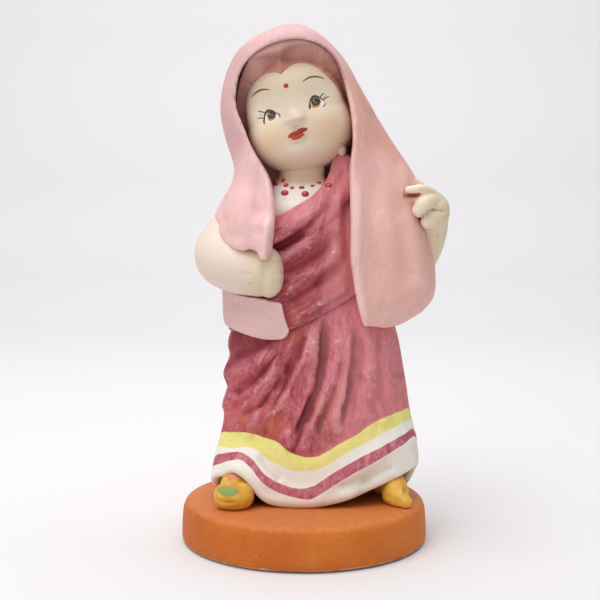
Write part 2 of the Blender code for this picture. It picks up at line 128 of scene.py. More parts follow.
# %% [markdown]
# ## Reading a body from its sections
# A dressed body has no simple profile to turn or extrude. It is described by level sections:
# height, then how far it reaches to her right, to her left, to the front and to the back. A flat
# grid is rolled up into a tube and each of its points is placed on those sections, so the folds
# later have an even mesh to move.

# %% Sections of the body and of the veil, in mm
BODY_SECTIONS = [
    (13.8, -28.0, 33.0, -14.6, 15.5), (19.0, -29.6, 34.6, -15.8, 16.8),
    (26.0, -29.5, 36.9, -16.6, 17.8), (33.0, -27.6, 36.9, -16.6, 18.0),
    (40.0, -26.2, 35.2, -16.2, 17.6), (47.0, -25.2, 33.9, -15.8, 17.2),
    (53.0, -25.0, 33.0, -15.5, 17.0), (60.0, -24.4, 31.9, -15.2, 16.6),
    (70.0, -23.4, 29.6, -14.8, 15.8), (80.0, -20.8, 24.8, -14.0, 14.6),
    (90.0, -18.6, 20.5, -13.4, 13.6), (100.0, -18.0, 19.0, -13.0, 12.8),
    (108.0, -17.4, 18.6, -11.2, 11.6), (113.0, -13.4, 14.8, -9.2, 10.0),
    (117.0, -9.0, 9.4, -7.6, 8.8), (121.0, -7.8, 7.8, -6.8, 8.2), (128.0, -7.6, 7.6, -6.6, 8.0),
]
VEIL_SECTIONS = [
    (66.0, -24.6, 27.0, -17.6, 19.6), (71.5, -26.0, 33.0, -18.4, 20.4),
    (75.0, -26.3, 38.6, -18.8, 20.8), (80.0, -26.4, 42.0, -19.0, 21.0),
    (88.0, -27.2, 42.2, -19.4, 21.0), (97.0, -28.6, 40.6, -20.0, 20.5),
    (104.0, -29.0, 38.4, -19.8, 20.0), (110.0, -27.0, 37.0, -18.4, 19.4),
    (116.0, -23.5, 36.5, -17.0, 19.0), (122.0, -22.7, 33.0, -16.2, 19.5),
    (130.0, -25.2, 28.0, -16.0, 20.5), (139.0, -26.9, 22.6, -15.8, 21.0),
    (148.0, -26.0, 17.0, -15.0, 20.0), (156.0, -22.4, 12.0, -13.6, 16.6),
    (161.6, -16.4, 6.4, -11.0, 12.0), (165.0, -9.6, 1.4, -6.6, 6.8),
    (166.2, -6.0, -1.6, -2.6, 2.6),
]


def smooth_rows(rows, count):
    """count + 1 rows along a smooth curve through the given ones."""
    rows = np.array(rows, float)
    padded = np.vstack([rows[:1] * 2 - rows[1:2], rows, rows[-1:] * 2 - rows[-2:-1]])
    place = np.linspace(0, len(rows) - 1, count + 1)
    i = np.minimum(place.astype(int), len(rows) - 2)
    t = (place - i)[:, None]
    a, b, c, d = padded[i], padded[i + 1], padded[i + 2], padded[i + 3]
    return b + 0.5 * t * (c - a + t * (2 * a - 5 * b + 4 * c - d + t * (3 * (b - c) + d - a)))


def on_sections(sections, turn, height, grow=0.0, squareness=2.25):
    """Points at a turn round the body (0 to 1, from her left) and a height."""
    rows = smooth_rows(sections, 400)
    left, right, front, back = (np.interp(height, rows[:, 0], rows[:, k]) for k in (1, 2, 3, 4))
    angle = 2 * math.pi * turn
    c, s = np.cos(angle), np.sin(angle)
    x = (left + right) / 2 + ((right - left) / 2 + grow) * np.sign(c) * abs(c) ** (2 / squareness)
    y = (front + back) / 2 + ((back - front) / 2 + grow) * np.sign(s) * abs(s) ** (2 / squareness)
    return np.column_stack([x, y, height])


print("body sections:", len(BODY_SECTIONS), "veil sections:", len(VEIL_SECTIONS))

# %% [markdown]
# ## Clay helpers
# A piece starts as a rolled grid, a limb or a ball. Overlapping lumps are fused with a voxel
# remesh, the way wet clay is pressed together, and then smoothed with the modifier. After that a
# tool stroke moves points along their normals: a crease presses in, a ridge pulls out and a lip
# lifts one side of its line over the other. Only a push goes straight towards the viewer.

# %% Starting shapes
def smooth_step(edge0, edge1, value):
    t = np.clip((value - edge0) / (edge1 - edge0), 0, 1)
    return t * t * (3 - 2 * t)


def as_object(bm, name):
    mesh = bpy.data.meshes.new(name)
    bm.to_mesh(mesh)
    bm.free()
    made = bpy.data.objects.new(name, mesh)
    bpy.context.scene.collection.objects.link(made)
    return made


def rolled(name, columns, rows, place):
    """A grid rolled into a closed skin. place(turn, rise) gives its points, both 0 to 1."""
    bm = bmesh.new()
    bmesh.ops.create_grid(bm, x_segments=columns, y_segments=rows, size=0.5)
    flat = np.array([v.co for v in bm.verts])
    for vertex, point in zip(bm.verts, place(flat[:, 0] + 0.5, flat[:, 1] + 0.5)):
        vertex.co = point
    bmesh.ops.remove_doubles(bm, verts=bm.verts, dist=0.001)
    bmesh.ops.holes_fill(bm, edges=[e for e in bm.edges if e.is_boundary])
    bmesh.ops.recalc_face_normals(bm, faces=bm.faces)
    return as_object(bm, name)


def limb(name, stations, columns=48, rows=60, flat=1.0, up=(0, 0, 1)):
    """A round-ended limb through (x, y, z, radius) stations; flat thins it along up."""
    curve = smooth_rows(stations, 200)
    steps = np.linalg.norm(np.diff(curve[:, :3], axis=0), axis=1)
    run = np.concatenate([[0], np.cumsum(steps)])
    start, end = curve[0, 3], curve[-1, 3]
    ahead = np.gradient(curve[:, :3], axis=0)
    ahead /= np.linalg.norm(ahead, axis=1)[:, None]
    other = np.cross(ahead, np.array(up, float))
    other /= np.linalg.norm(other, axis=1)[:, None]
    over = np.cross(other, ahead)

    def place(turn, rise):
        along = -start + rise * (run[-1] + start + end)
        inside = np.clip(along, 0, run[-1])
        read = lambda values: np.column_stack([np.interp(inside, run, v) for v in values.T])
        past = along - inside
        radius = np.interp(inside, run, curve[:, 3])
        size = radius * np.sqrt(np.clip(1 - (past / radius) ** 2, 0, 1))
        angle = 2 * math.pi * turn
        centre = read(curve[:, :3]) + read(ahead) * past[:, None]
        aside = read(other) * (size * np.cos(angle))[:, None]
        return centre + aside + read(over) * (flat * size * np.sin(angle))[:, None]

    return rolled(name, columns, rows, place)


def ball(name, centre, radii, turn=None, segments=64, rings=40):
    bm = bmesh.new()
    bmesh.ops.create_uvsphere(bm, u_segments=segments, v_segments=rings, radius=1)
    matrix = Matrix.Translation(centre) @ (turn or Matrix()) @ Matrix.Diagonal((*radii, 1))
    bmesh.ops.transform(bm, matrix=matrix, verts=bm.verts)
    return as_object(bm, name)


def prism(name, outline, front, back):
    """An outline of (x, z) corners, drawn at depth front and carried through to back."""
    bm = bmesh.new()
    face = bm.faces.new([bm.verts.new((x, front, z)) for x, z in outline])
    swept = bmesh.ops.extrude_face_region(bm, geom=[face])
    moved = [v for v in swept["geom"] if isinstance(v, bmesh.types.BMVert)]
    bmesh.ops.translate(bm, vec=(0, back - front, 0), verts=moved)
    bmesh.ops.recalc_face_normals(bm, faces=bm.faces)
    return as_object(bm, name)


# %% Pressing lumps together and carving them
def settle(obj):
    """Applies the modifiers: the object's mesh becomes what they make."""
    bpy.context.view_layer.update()
    graph = bpy.context.evaluated_depsgraph_get()
    made = bpy.data.meshes.new_from_object(obj.evaluated_get(graph))
    obj.modifiers.clear()
    obj.data = made
    return obj


def gathered(name, lumps):
    """One object that holds all the lumps, still apart from each other."""
    bm = bmesh.new()
    for lump in lumps:
        bm.from_mesh(lump.data)
        bpy.data.objects.remove(lump)
    return as_object(bm, name)


def fused(name, lumps, voxel=0.5, smooth=6, carve=()):
    """Joins the lumps into one, cuts the carvers out of it and softens what is left."""
    clay = gathered(name, lumps)
    remesh = clay.modifiers.new("press_together", "REMESH")
    remesh.mode = "VOXEL"
    remesh.voxel_size = voxel
    for carver in carve:
        boolean = clay.modifiers.new("carve", "BOOLEAN")
        boolean.operation = "DIFFERENCE"
        boolean.solver = "MANIFOLD"
        boolean.object = carver
    if carve:
        again = clay.modifiers.new("even_out", "REMESH")
        again.mode = "VOXEL"
        again.voxel_size = voxel
    soften = clay.modifiers.new("soften", "SMOOTH")
    soften.factor = 0.5
    soften.iterations = smooth
    settle(clay)
    for carver in carve:
        bpy.data.objects.remove(carver)
    print(f"{name}: {len(clay.data.polygons)} faces")
    return clay


# %% Reading and moving a piece's points
def points_of(obj):
    values = np.empty(len(obj.data.vertices) * 3, np.float32)
    obj.data.vertices.foreach_get("co", values)
    return values.reshape(-1, 3).astype(float)


def set_points(obj, points):
    obj.data.vertices.foreach_set("co", points.astype(np.float32).ravel())
    obj.data.update()


def normals_of(obj):
    values = np.empty(len(obj.data.vertices) * 3, np.float32)
    obj.data.vertex_normals.foreach_get("vector", values)
    return values.reshape(-1, 3).astype(float)


def store(obj, name, values):
    """Stores one number per point, for the paint to read."""
    layer = obj.data.attributes.new(name, "FLOAT", "POINT")
    layer.data.foreach_set("value", values.astype(np.float32))


def near_path(points, path):
    """Each point's distance to a smooth path, which side it is on, and how far along."""
    dense = smooth_rows(path, 24 * (len(path) - 1))
    distance = np.full(len(points), 1e9)
    side = np.zeros(len(points))
    along = np.zeros(len(points))
    for k, (a, b) in enumerate(zip(dense, dense[1:])):
        step = b - a
        t = np.clip(((points - a) @ step) / (step @ step), 0, 1)
        gap = points - a - t[:, None] * step
        d = np.linalg.norm(gap, axis=1)
        closer = d < distance
        distance[closer] = d[closer]
        side[closer] = (step[0] * gap[closer, 1] - step[1] * gap[closer, 0])
        along[closer] = (k + t[closer]) / (len(dense) - 1)
    return distance, np.sign(side), along


def strokes(obj, marks, facing=FRONT):
    """Tool marks drawn as (kind, height, width, path of (x, z)) on one side of the piece.

    facing is FRONT or BACK. A push moves clay straight out of that side, without regard to the
    normals, so that it also takes the rims of a sheet with it.
    """
    points = points_of(obj)
    for kind, height, width, path in marks:
        path = np.array(path, float)
        normals = normals_of(obj)
        reach = 3.2 * width
        low, high = path.min(0) - reach, path.max(0) + reach
        flat = points[:, [0, 2]]
        limit = -0.6 if kind == "push" else -0.15
        turned_here = normals[:, 1] * facing
        near = ((flat > low) & (flat < high)).all(1) & (turned_here > limit)
        index = np.nonzero(near)[0]
        if not len(index):
            continue
        distance, side, along = near_path(flat[index], path)
        taper = smooth_step(0, 0.18, along) * smooth_step(0, 0.18, 1 - along)
        face = smooth_step(-0.15, 0.25, turned_here[index])
        spread = distance / width
        if kind == "push":
            face = smooth_step(limit, 0.0, turned_here[index])
            points[index, 1] += facing * height * np.exp(-spread ** 2) * taper * face
            set_points(obj, points)
            continue
        if kind == "crease":
            move = -height * np.exp(-spread ** 2)
        elif kind == "ridge":
            move = height * np.exp(-spread ** 2)
        else:
            across = spread * side
            lifted = np.exp(-np.clip(across - 0.6, 0, None) ** 1.6) * smooth_step(-0.4, 0.6, across)
            hollow = -0.5 * np.exp(-((across + 0.45) / 0.45) ** 2)
            move = height * (lifted + hollow)
        points[index] += normals[index] * (move * taper * face)[:, None]
        set_points(obj, points)
    return obj


def dabs(obj, count, flow, low, high, facing=FRONT, height=0.4):
    """Short uneven tool marks that lie along flow(x, z), the run of the cloth."""
    rng = np.random.default_rng(count + PAINT_SEED)
    marks = []
    for _ in range(count):
        x, z = rng.uniform(low[0], high[0]), rng.uniform(low[1], high[1])
        dx, dz = flow(x, z)
        half, bend = rng.uniform(3.0, 6.5), rng.uniform(-0.9, 0.9)
        start, end = (x - dx * half, z - dz * half), (x + dx * half, z + dz * half)
        path = [start, (x + dz * bend, z - dx * bend), end]
        kind = "ridge" if rng.random() < 0.5 else "crease"
        marks.append((kind, height * rng.uniform(0.4, 1.0), rng.uniform(0.8, 1.7), path))
    return strokes(obj, marks, facing)


def ripple(obj, amount, size, seed):
    """Uneven hand-pressed clay: a few slow waves moved along the normals."""
    rng = np.random.default_rng(seed)
    points, normals = points_of(obj), normals_of(obj)
    move = np.zeros(len(points))
    for _ in range(10):
        direction = rng.normal(size=3)
        direction /= np.linalg.norm(direction)
        length = size * rng.uniform(0.6, 1.6)
        move += np.sin(points @ direction * 2 * math.pi / length + rng.uniform(0, 6.28))
    set_points(obj, points + normals * (move * amount / 4)[:, None])
    return obj


def relief(obj, passes=(6, 30)):
    """Stores how far each point stands out of its surroundings, for painted shade in hollows,
    painted highlights on crests, and scuffs.
    """
    edges = np.empty(len(obj.data.edges) * 2, np.int32)
    obj.data.edges.foreach_get("vertices", edges)
    a, b = edges.reshape(-1, 2).T
    points, normals = points_of(obj), normals_of(obj)
    count = np.bincount(a, minlength=len(points)) + np.bincount(b, minlength=len(points))
    smooth = points.copy()
    for name, steps in zip(("relief_fine", "relief_broad"), passes):
        for _ in range(steps):
            total = np.zeros_like(smooth)
            for k in range(3):
                total[:, k] = np.bincount(a, smooth[b, k], len(points))
                total[:, k] += np.bincount(b, smooth[a, k], len(points))
            smooth = 0.5 * smooth + 0.5 * total / count[:, None]
        store(obj, name, ((points - smooth) * normals).sum(1))
    return obj


def grain(obj, across, along):
    """Stores the direction that the paint was brushed in, as two lengths in mm."""
    layer = obj.data.attributes.new("grain", "FLOAT_VECTOR", "POINT")
    layer.data.foreach_set(
        "vector", np.column_stack([across, along, np.zeros(len(across))]).astype(np.float32).ravel()
    )
    return obj


# %% Handing a finished piece to the frame
def finished(obj, material, slot, *nodes):
    """Brings a piece to metres, paints it and says which solids it stands for."""
    obj.data.transform(Matrix.Scale(MM, 4))
    obj.data.shade_smooth()
    obj.data.materials.clear()
    obj.data.materials.append(material)
    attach(obj, "root")
    if nodes:
        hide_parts(*nodes)
    triangles = sum(len(p.vertices) - 2 for p in obj.data.polygons)
    size = [round(v / MM, 1) for v in obj.dimensions]
    print(f"{obj.name}: {triangles} triangles, {size} mm, stands for {', '.join(nodes)}")
    return obj


# %% [markdown]
# ## Shader maths
# Paint is mixed from masks, and a mask is a sum on values. One small class wraps a socket and
# overloads the operators, so that a mask reads as a formula; every other node comes from one
# method, which takes the node's type, its settings and its inputs.

# %% Shader maths as Python expressions
class Value:
    """A socket that carries a number, a vector or a colour."""

    def __init__(self, tree, socket):
        self.tree, self.socket = tree, socket

    def math(self, operation, *others):
        node = self.tree.nodes.new("ShaderNodeMath")
        node.operation = operation
        for place, value in enumerate((self, *others)):
            link_or_set(self.tree, node.inputs[place], value)
        return Value(self.tree, node.outputs[0])

    def __add__(self, other):
        return self.math("ADD", other)

    def __sub__(self, other):
        return self.math("SUBTRACT", other)

    def __rsub__(self, other):
        return self * -1 + other

    def __mul__(self, other):
        return self.math("MULTIPLY", other)

    def __truediv__(self, other):
        return self.math("DIVIDE", other)

    __radd__, __rmul__ = __add__, __mul__

    def abs(self):
        return self.math("ABSOLUTE")

    def most(self, other):
        return self.math("MAXIMUM", other)

    def sqrt(self):
        return self.most(0.0).math("SQRT")

    def step(self, low, high):
        """0 below low and 1 above high, smooth between; the other way round if low > high."""
        node = self.tree.nodes.new("ShaderNodeMapRange")
        node.interpolation_type = "SMOOTHSTEP"
        flipped = low > high
        ends = (high, low, 1.0, 0.0) if flipped else (low, high, 0.0, 1.0)
        self.tree.links.new(self.socket, node.inputs["Value"])
        for name, value in zip(("From Min", "From Max", "To Min", "To Max"), ends):
            node.inputs[name].default_value = value
        return Value(self.tree, node.outputs["Result"])


def link_or_set(tree, socket, value):
    if isinstance(value, Value):
        tree.links.new(value.socket, socket)
    else:
        socket.default_value = value


class Paint:
    """A material under construction: its node tree and its Principled shader."""

    def __init__(self, name, roughness=0.7, specular=0.35):
        self.material = bpy.data.materials.new(name)
        self.material.use_nodes = True
        self.tree = self.material.node_tree
        self.shader = self.tree.nodes["Principled BSDF"]
        self.shader.inputs["Roughness"].default_value = roughness
        self.shader.inputs["Specular IOR Level"].default_value = specular
        self.place = Value(self.tree, self.node("ShaderNodeTexCoord").outputs["Object"])

    def node(self, kind, settings=None, **inputs):
        made = self.tree.nodes.new(kind)
        for key, value in (settings or {}).items():
            setattr(made, key, value)
        for key, value in inputs.items():
            link_or_set(self.tree, made.inputs[key.replace("_", " ")], value)
        return made

    def value(self, kind, output, settings=None, **inputs):
        return Value(self.tree, self.node(kind, settings, **inputs).outputs[output])

    def stored(self, name, output="Fac"):
        return self.value("ShaderNodeAttribute", output, {"attribute_name": name})

    def place_mm(self):
        """x, y and z of the object's own space, in mm."""
        return [part * 1000 for part in self.parts(self.place)]

    def parts(self, vector):
        node = self.node("ShaderNodeSeparateXYZ", Vector=vector)
        return [Value(self.tree, node.outputs[k]) for k in range(3)]

    def mapped(self, vector, scale=(1, 1, 1), offset=(0, 0, 0), turn=(0, 0, 0), kind="POINT"):
        return self.value(
            "ShaderNodeMapping", "Vector", {"vector_type": kind},
            Vector=vector, Location=offset, Rotation=turn, Scale=scale,
        )

    def noise(self, vector, scale, detail=3.0, rough=0.55, distort=0.0):
        return self.value(
            "ShaderNodeTexNoise", "Fac", {"noise_dimensions": "3D"}, Vector=vector,
            Scale=scale, Detail=detail, Roughness=rough, Distortion=distort,
        )

    def mix(self, factor, first, second):
        node = self.tree.nodes.new("ShaderNodeMix")
        node.data_type = "RGBA"
        node.clamp_factor = True
        link_or_set(self.tree, node.inputs[0], factor)
        for socket, colour in ((node.inputs[6], first), (node.inputs[7], second)):
            link_or_set(self.tree, socket, colour if isinstance(colour, Value) else (*colour, 1))
        return Value(self.tree, node.outputs[2])

    def start(self, factor, first, second):
        """The first coat, mottled between two tints."""
        self.colour = self.mix(factor, first, second)

    def lay(self, mask, tint, strength=1.0):
        """Brushes a tint over what is there already, where the mask says so."""
        covered = mask if strength == 1.0 else mask * strength
        self.colour = self.mix(covered, self.colour, tint)

    def finish(self, roughness, height=None, depth=0.1):
        """Plugs the paint in; height is a value whose whole range is depth mm deep."""
        self.tree.links.new(self.colour.socket, self.shader.inputs["Base Color"])
        self.tree.links.new(roughness.socket, self.shader.inputs["Roughness"])
        if height is not None:
            bump = self.node("ShaderNodeBump", Height=height, Distance=depth * MM, Strength=1.0)
            self.tree.links.new(bump.outputs["Normal"], self.shader.inputs["Normal"])
        return self.material


print("shader helpers ready")

# %% [markdown]
# ## The plinth
# A turned disc of red clay under an orange wash. It is turned here too: one profile spun about
# the upright axis. The rim is soft from the wash, and the sides lean in a little.

# %% Terracotta paint
def terracotta_paint():
    paint = Paint("terracotta_wash", roughness=0.62, specular=0.3)
    z = paint.place_mm()[2]
    broad = paint.noise(paint.place, 38, 3)
    brushed = paint.noise(paint.mapped(paint.place, scale=(240, 240, 620)), 1.0, 4, 0.6)
    paint.start(broad.step(0.35, 0.7), (0.54, 0.120, 0.009), (0.65, 0.178, 0.019))
    paint.lay(brushed.step(0.45, 0.75) * 0.16, (0.70, 0.27, 0.09))
    # painted light: the top is painted lighter, as lit from above
    top = z.step(12.2, 13.4)
    paint.lay(top * 0.6, (0.64, 0.205, 0.060))
    # painted highlight: the rounded rim is painted lighter, broken up by a worn-looking mottle; the
    # same noise also roughens the bump
    sheen_and_wear = paint.noise(paint.place, 420, 2)
    rim = z.step(11.4, 13.0) * z.step(14.6, 13.3)
    paint.lay(rim * sheen_and_wear.step(0.40, 0.75) * 0.30, (0.72, 0.32, 0.13))
    specks = paint.noise(paint.place, 1500, 1)
    paint.lay(specks.step(0.70, 0.74) * 0.75, (0.20, 0.06, 0.02))
    chips = paint.noise(paint.place, 900, 1.5) + paint.noise(paint.place, 160, 1) * 0.6
    paint.lay(chips.step(1.15, 1.18), (0.78, 0.62, 0.48))
    foot_noise = paint.noise(paint.place, 260, 3)
    bare = (z + foot_noise * 1.6).step(2.0, 1.5) * 0.7
    paint.lay(bare, (0.74, 0.55, 0.40))
    height = brushed * 0.5 + specks * 0.3 - chips.step(1.13, 1.18) * 0.6 + sheen_and_wear * 0.3
    return paint.finish(broad * 0.2 + 0.5, height, 0.09)


# %% Turn the plinth
def turned(name, profile, segments=192):
    """Spins (radius, height) corners about Z into a closed piece."""
    bm = bmesh.new()
    corners = [bm.verts.new((r, 0, z)) for r, z in profile]
    edges = [bm.edges.new(pair) for pair in zip(corners, corners[1:])]
    bmesh.ops.spin(
        bm, geom=corners + edges, axis=(0, 0, 1), cent=(0, 0, 0),
        angle=2 * math.pi, steps=segments, use_merge=True,
    )
    bmesh.ops.remove_doubles(bm, verts=bm.verts, dist=0.002)
    bmesh.ops.recalc_face_normals(bm, faces=bm.faces)
    return as_object(bm, name)


rim_curve = smooth_rows([(40.0, 2.2), (39.9, 6.0), (39.65, 9.6), (39.3, 11.4), (38.6, 12.7),
                         (37.2, 13.4),
                         (35.0, 13.6), (31.0, 13.6)], 40)
plinth_profile = [(0, 5.3), (31.8, 5.3), (32.6, 1.6), (33.0, 1.32), (37.8, 1.32), (38.2, 0.7),
                  (39.3, 0.6)]
plinth_profile += [(39.8, 1.0)] + [tuple(p) for p in rim_curve]
plinth_profile += [(r, 13.6) for r in range(29, 0, -2)] + [(0, 13.6)]
plinth = turned("plinth_turned", plinth_profile)
ripple(plinth, 0.05, 14, PAINT_SEED)
relief(plinth)
finished(plinth, terracotta_paint(), "terracotta", "plinth")


# %% [markdown]
# The pad under the plinth keeps its solid and only gets a felt finish: a dark grey that is
# mottled by short fibres.

# %% Felt pad
def felt_finish():
    paint = Paint("felt", roughness=1.0, specular=0.1)
    fibres = paint.noise(paint.mapped(paint.place, scale=(1400, 700, 1400)), 1.0, 4, 0.7)
    paint.start(fibres, (0.03, 0.03, 0.035), (0.13, 0.125, 0.12))
    return paint.finish(fibres * 0.1 + 0.88, fibres, 0.15)


for pad_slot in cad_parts["felt_pad"].material_slots:
    pad_slot.material = felt_finish()
print("felt pad finished")

# %% [markdown]
# ## The skirt
# The hem is the skirt's liveliest line: it arches over each shoe and dips between them until it
# touches the plinth. The rolled grid starts on the hem's inner side, turns round its lip and then
# climbs to where the waist wrap covers it. The folds fan out from her left hip.

# %% Hem line and waist line, in mm
HEM_LINE = [(-32, 15.5), (-29.5, 18.5), (-28.0, 20.9), (-25.6, 22.2), (-22.0, 24.3), (-18.4, 22.5),
            (-15.4, 18.7), (-12.1, 15.0), (-7.0, 13.9), (-1.9, 13.8), (5.7, 14.4), (14.5, 16.5),
            (22.1, 19.5), (27.2, 21.8), (31.0, 23.4), (35.0, 25.0), (40.0, 25.6)]
WRAP_POINT, WRAP_SLOPE = (3.0, 76.0), math.tan(math.radians(32))
LIP = 1.2
HEM_FLOOR = 13.8
SKIRT_TOP = 70
FOLD_CENTRE = (13, 112)
BRUSH_CENTRE = (13, 108)


def hem_height(x, y):
    table = np.array(smooth_rows(HEM_LINE, 160))
    front = smooth_step(6.5, -3.5, y)
    return HEM_FLOOR + front * (np.interp(x, table[:, 0], table[:, 1]) - HEM_FLOOR)


def wrap_height(x):
    return WRAP_POINT[1] + WRAP_SLOPE * (x - WRAP_POINT[0])


def skirt_place(turn, rise):
    """The hem's inner side, round its lip, then up the skirt."""
    foot = on_sections(BODY_SECTIONS, turn, np.full(len(turn), 18.0))
    low = hem_height(foot[:, 0], foot[:, 1])
    edge = 0.05  # the share of the rows that goes round the hem's lip
    lip = np.clip(rise / edge, 0, 1)
    around = math.pi * (1 + lip)
    climb = np.clip((rise - edge) / (1 - edge), 0, 1)
    top = np.maximum(wrap_height(foot[:, 0]), SKIRT_TOP) + 4
    round_lip = rise <= edge
    up = np.where(round_lip, LIP * (1 + np.sin(around)), LIP + climb * (top - low - LIP))
    height = low + up
    grow = np.where(round_lip, LIP * (np.cos(around) - 1), 0.0)
    flare = 0.9 * np.exp(-((height - low) / 5.0) ** 2)
    return on_sections(BODY_SECTIONS, turn, height, grow + flare)


# %% Sculpt the skirt
skirt = rolled("sari_skirt", 380, 240, skirt_place)
strokes(skirt, [
    ("ridge", 0.99, 3.4, [(-12, 69.5), (-19, 67), (-24.5, 65.0), (-31, 64)]),
    ("ridge", 1.4, 3.2, [(-8, 65), (-14, 60.6), (-20, 56.4), (-31, 54)]),
    ("ridge", 1.1, 3.4, [(-6, 60), (-12, 54), (-19, 47.6), (-31, 42)]),
    ("ridge", 0.74, 3.2, [(-5, 53), (-9, 47), (-15, 41.5), (-24, 38)]),
    ("crease", 1.1, 1.3, [(-6.2, 70.6), (-12.9, 66.0), (-19.4, 62.0), (-31, 59.6)]),
    ("crease", 1.2, 1.3, [(-5.0, 66), (-10.4, 60.0), (-15.6, 54.4), (-20.4, 50.6), (-31, 47.6)]),
    ("crease", 0.79, 1.1, [(-6.4, 57.6), (-10.5, 50.6), (-15, 45.2), (-22, 41.6)]),
    ("ridge", 1.2, 2.7, [(2.4, 74), (0.6, 64), (-2.8, 56), (-6.9, 48.8), (-12.5, 40)]),
    ("ridge", 1.4, 2.6, [(9.8, 74), (9.6, 62), (7.4, 53), (3.8, 45), (-1.0, 35)]),
    ("ridge", 0.99, 2.4, [(13.6, 74), (13.0, 61), (11.6, 51), (8.6, 42), (5.0, 35)]),
    ("ridge", 0.87, 3.2, [(21.2, 74), (21.0, 60), (19.9, 47), (18, 39)]),
    ("ridge", 0.56, 2.4, [(27.0, 74), (27.0, 60), (28.0, 46)]),
    ("lip", 0.79, 2.2, [(9.8, 36), (12.2, 44.5), (14.2, 51.3), (15.3, 59.0), (15.7, 65.3),
                        (15.4, 74)]),
    ("lip", 0.86, 2.4, [(-6.0, 30), (-2.8, 35.4), (1.0, 45.0), (4.2, 54.5), (5.5, 64.0),
                        (6.2, 77)]),
    ("crease", 0.94, 1.3, [(10.2, 38.0), (13.6, 48.0), (15.4, 58.0), (16.1, 72)]),
    ("crease", 1, 1.3, [(-4.2, 33.4), (0.6, 43.6), (4.2, 54.0), (5.7, 66), (6.0, 76)]),
    ("crease", 1.4, 1.5, [(2.1, 76), (-0.9, 67), (-2.9, 62), (-5.2, 56.6), (-8.6, 49.8),
                          (-14.0, 40)]),
    ("crease", 0.65, 1.0, [(2.9, 51.5), (1.0, 46.0), (-1.7, 40.5), (-5.6, 34.4)]),
    ("crease", 0.65, 1.0, [(11.8, 68), (11.2, 60), (9.3, 51), (6.0, 43), (3.6, 38)]),
    ("crease", 0.65, 1.1, [(18.0, 74), (17.7, 60), (15.9, 47), (14.6, 40)]),
    ("crease", 0.65, 1.3, [(24.4, 74), (24.1, 63.4), (24.6, 46)]),
    ("crease", 0.5, 1.2, [(29.6, 72), (30.0, 62), (31.1, 46)]),
    ("crease", 0.7, 1.9, [(-14.7, 38.6), (-9.6, 36.5), (-3, 31.4), (3, 31.6), (9, 35), (17, 39)]),
    ("ridge", 1.2, 3.4, [(-27, 26), (-20.5, 29), (-14, 23.6), (-6, 19), (2, 18.6), (12, 22.6),
                         (24, 30), (34, 35)]),
    ("ridge", 0.8, 1.8, [(-26, 23.6), (-22, 25.8), (-17.6, 23.8), (-13, 17.8), (-6, 15.8),
                         (4, 15.8), (16, 18.6), (30, 25)]),
    ("crease", 1.0, 1.8, [(8, 20.0), (15, 22.0), (22, 25.6), (29, 29.6)]),
    ("crease", 0.9, 1.6, [(17, 20.6), (23, 24.2), (30, 26.6)]),
    ("crease", 0.8, 1.6, [(-15, 30.6), (-11, 25.6), (-7, 22.0)]),
])
strokes(skirt, [
    ("crease", 0.9, 1.8, [(x, 66), (x + lean, 46), (x + 2 * lean, 26)])
    for x, lean in ((-17, -1.5), (-8, -1), (1, 0.2), (11, 1.2), (21, 1.8), (28, 1.6))
], facing=BACK)
strokes(skirt, [
    ("ridge", 0.9, 3.0, [(x, 66), (x + lean, 46), (x + 2 * lean, 26)])
    for x, lean in ((-13, -1.3), (-3.5, -0.5), (6, 0.8), (16, 1.5), (25, 1.7))
], facing=BACK)


def skirt_flow(x, z):
    dx, dz = x - FOLD_CENTRE[0], z - FOLD_CENTRE[1]
    return dx / math.hypot(dx, dz), dz / math.hypot(dx, dz)


dabs(skirt, 90, skirt_flow, (-26, 34), (32, 72))
dabs(skirt, 60, lambda x, z: (0.05, 1.0), (-26, 20), (32, 68), facing=BACK)
ripple(skirt, 0.10, 11, PAINT_SEED + 1)
relief(skirt, (6, 90))
print("skirt:", len(skirt.data.polygons), "faces")

# %% [markdown]
# The hem is painted in bands that follow its wave: white, a rose stripe, white, then yellow. Each
# point of the skirt stores how many bands it is above the hem, as one number that grows without
# jumps, so the painted edges stay crisp between the points. The brushed direction is stored too.

# %% Bands and brush direction on the skirt
BAND_LINES = [
    [(-32, 24), (-28.5, 25.2), (-24, 27.7), (-20.2, 28.8), (-17.1, 26.7), (-13.3, 22.2),
     (-8.3, 19.0), (-1.9, 17.3), (1.9, 17.0), (6.9, 19.6), (14.5, 24.5), (24, 29.3), (36, 34.9),
     (40, 35)],
    [(-32, 27), (-28.5, 28.4), (-24, 30.3), (-20.2, 31.0), (-16.4, 29.0), (-12.7, 24.8),
     (-7.6, 21.6), (-2.6, 20.3), (2.5, 20.8), (8.2, 24.5), (15.8, 29.0), (24, 32.8), (36, 37.5),
     (40, 38)],
    [(-32, 30.5), (-27.8, 31.2), (-22.8, 31.7), (-18.3, 32.6), (-14.6, 31.5), (-10.1, 28.4),
     (-4.5, 26.1), (0, 25.8), (5.7, 26.9), (13.2, 31.5), (19.5, 34.4), (25.8, 37.6), (36, 40.8),
     (40, 41)],
    [(-32, 34.5), (-25, 36.1), (-17.7, 37.2), (-12.6, 36.0), (-8.9, 34.8), (-4.4, 31.7),
     (-0.7, 30.2), (4.4, 30.4), (10.7, 34.1), (17, 37.4), (23.9, 41.6), (33.5, 43.8), (40, 44.5)],
]
BACK_BANDS = (18.5, 22.0, 26.5, 31.5)


def band_count(points):
    """0 at the plinth, 1 at the first line, 2 at the second and so on."""
    x, y, z = points.T
    front = smooth_step(9, -6, y)
    heights = []
    for line, back in zip(BAND_LINES, BACK_BANDS):
        table = smooth_rows(line, 160)
        heights.append(back + front * (np.interp(x, table[:, 0], table[:, 1]) - back))
    heights = [heights[0] - 5] + heights + [heights[-1] + 5]
    count = np.zeros(len(x))
    for low, high in zip(heights, heights[1:]):
        count += np.clip((z - low) / (high - low), 0, 1)
    return count


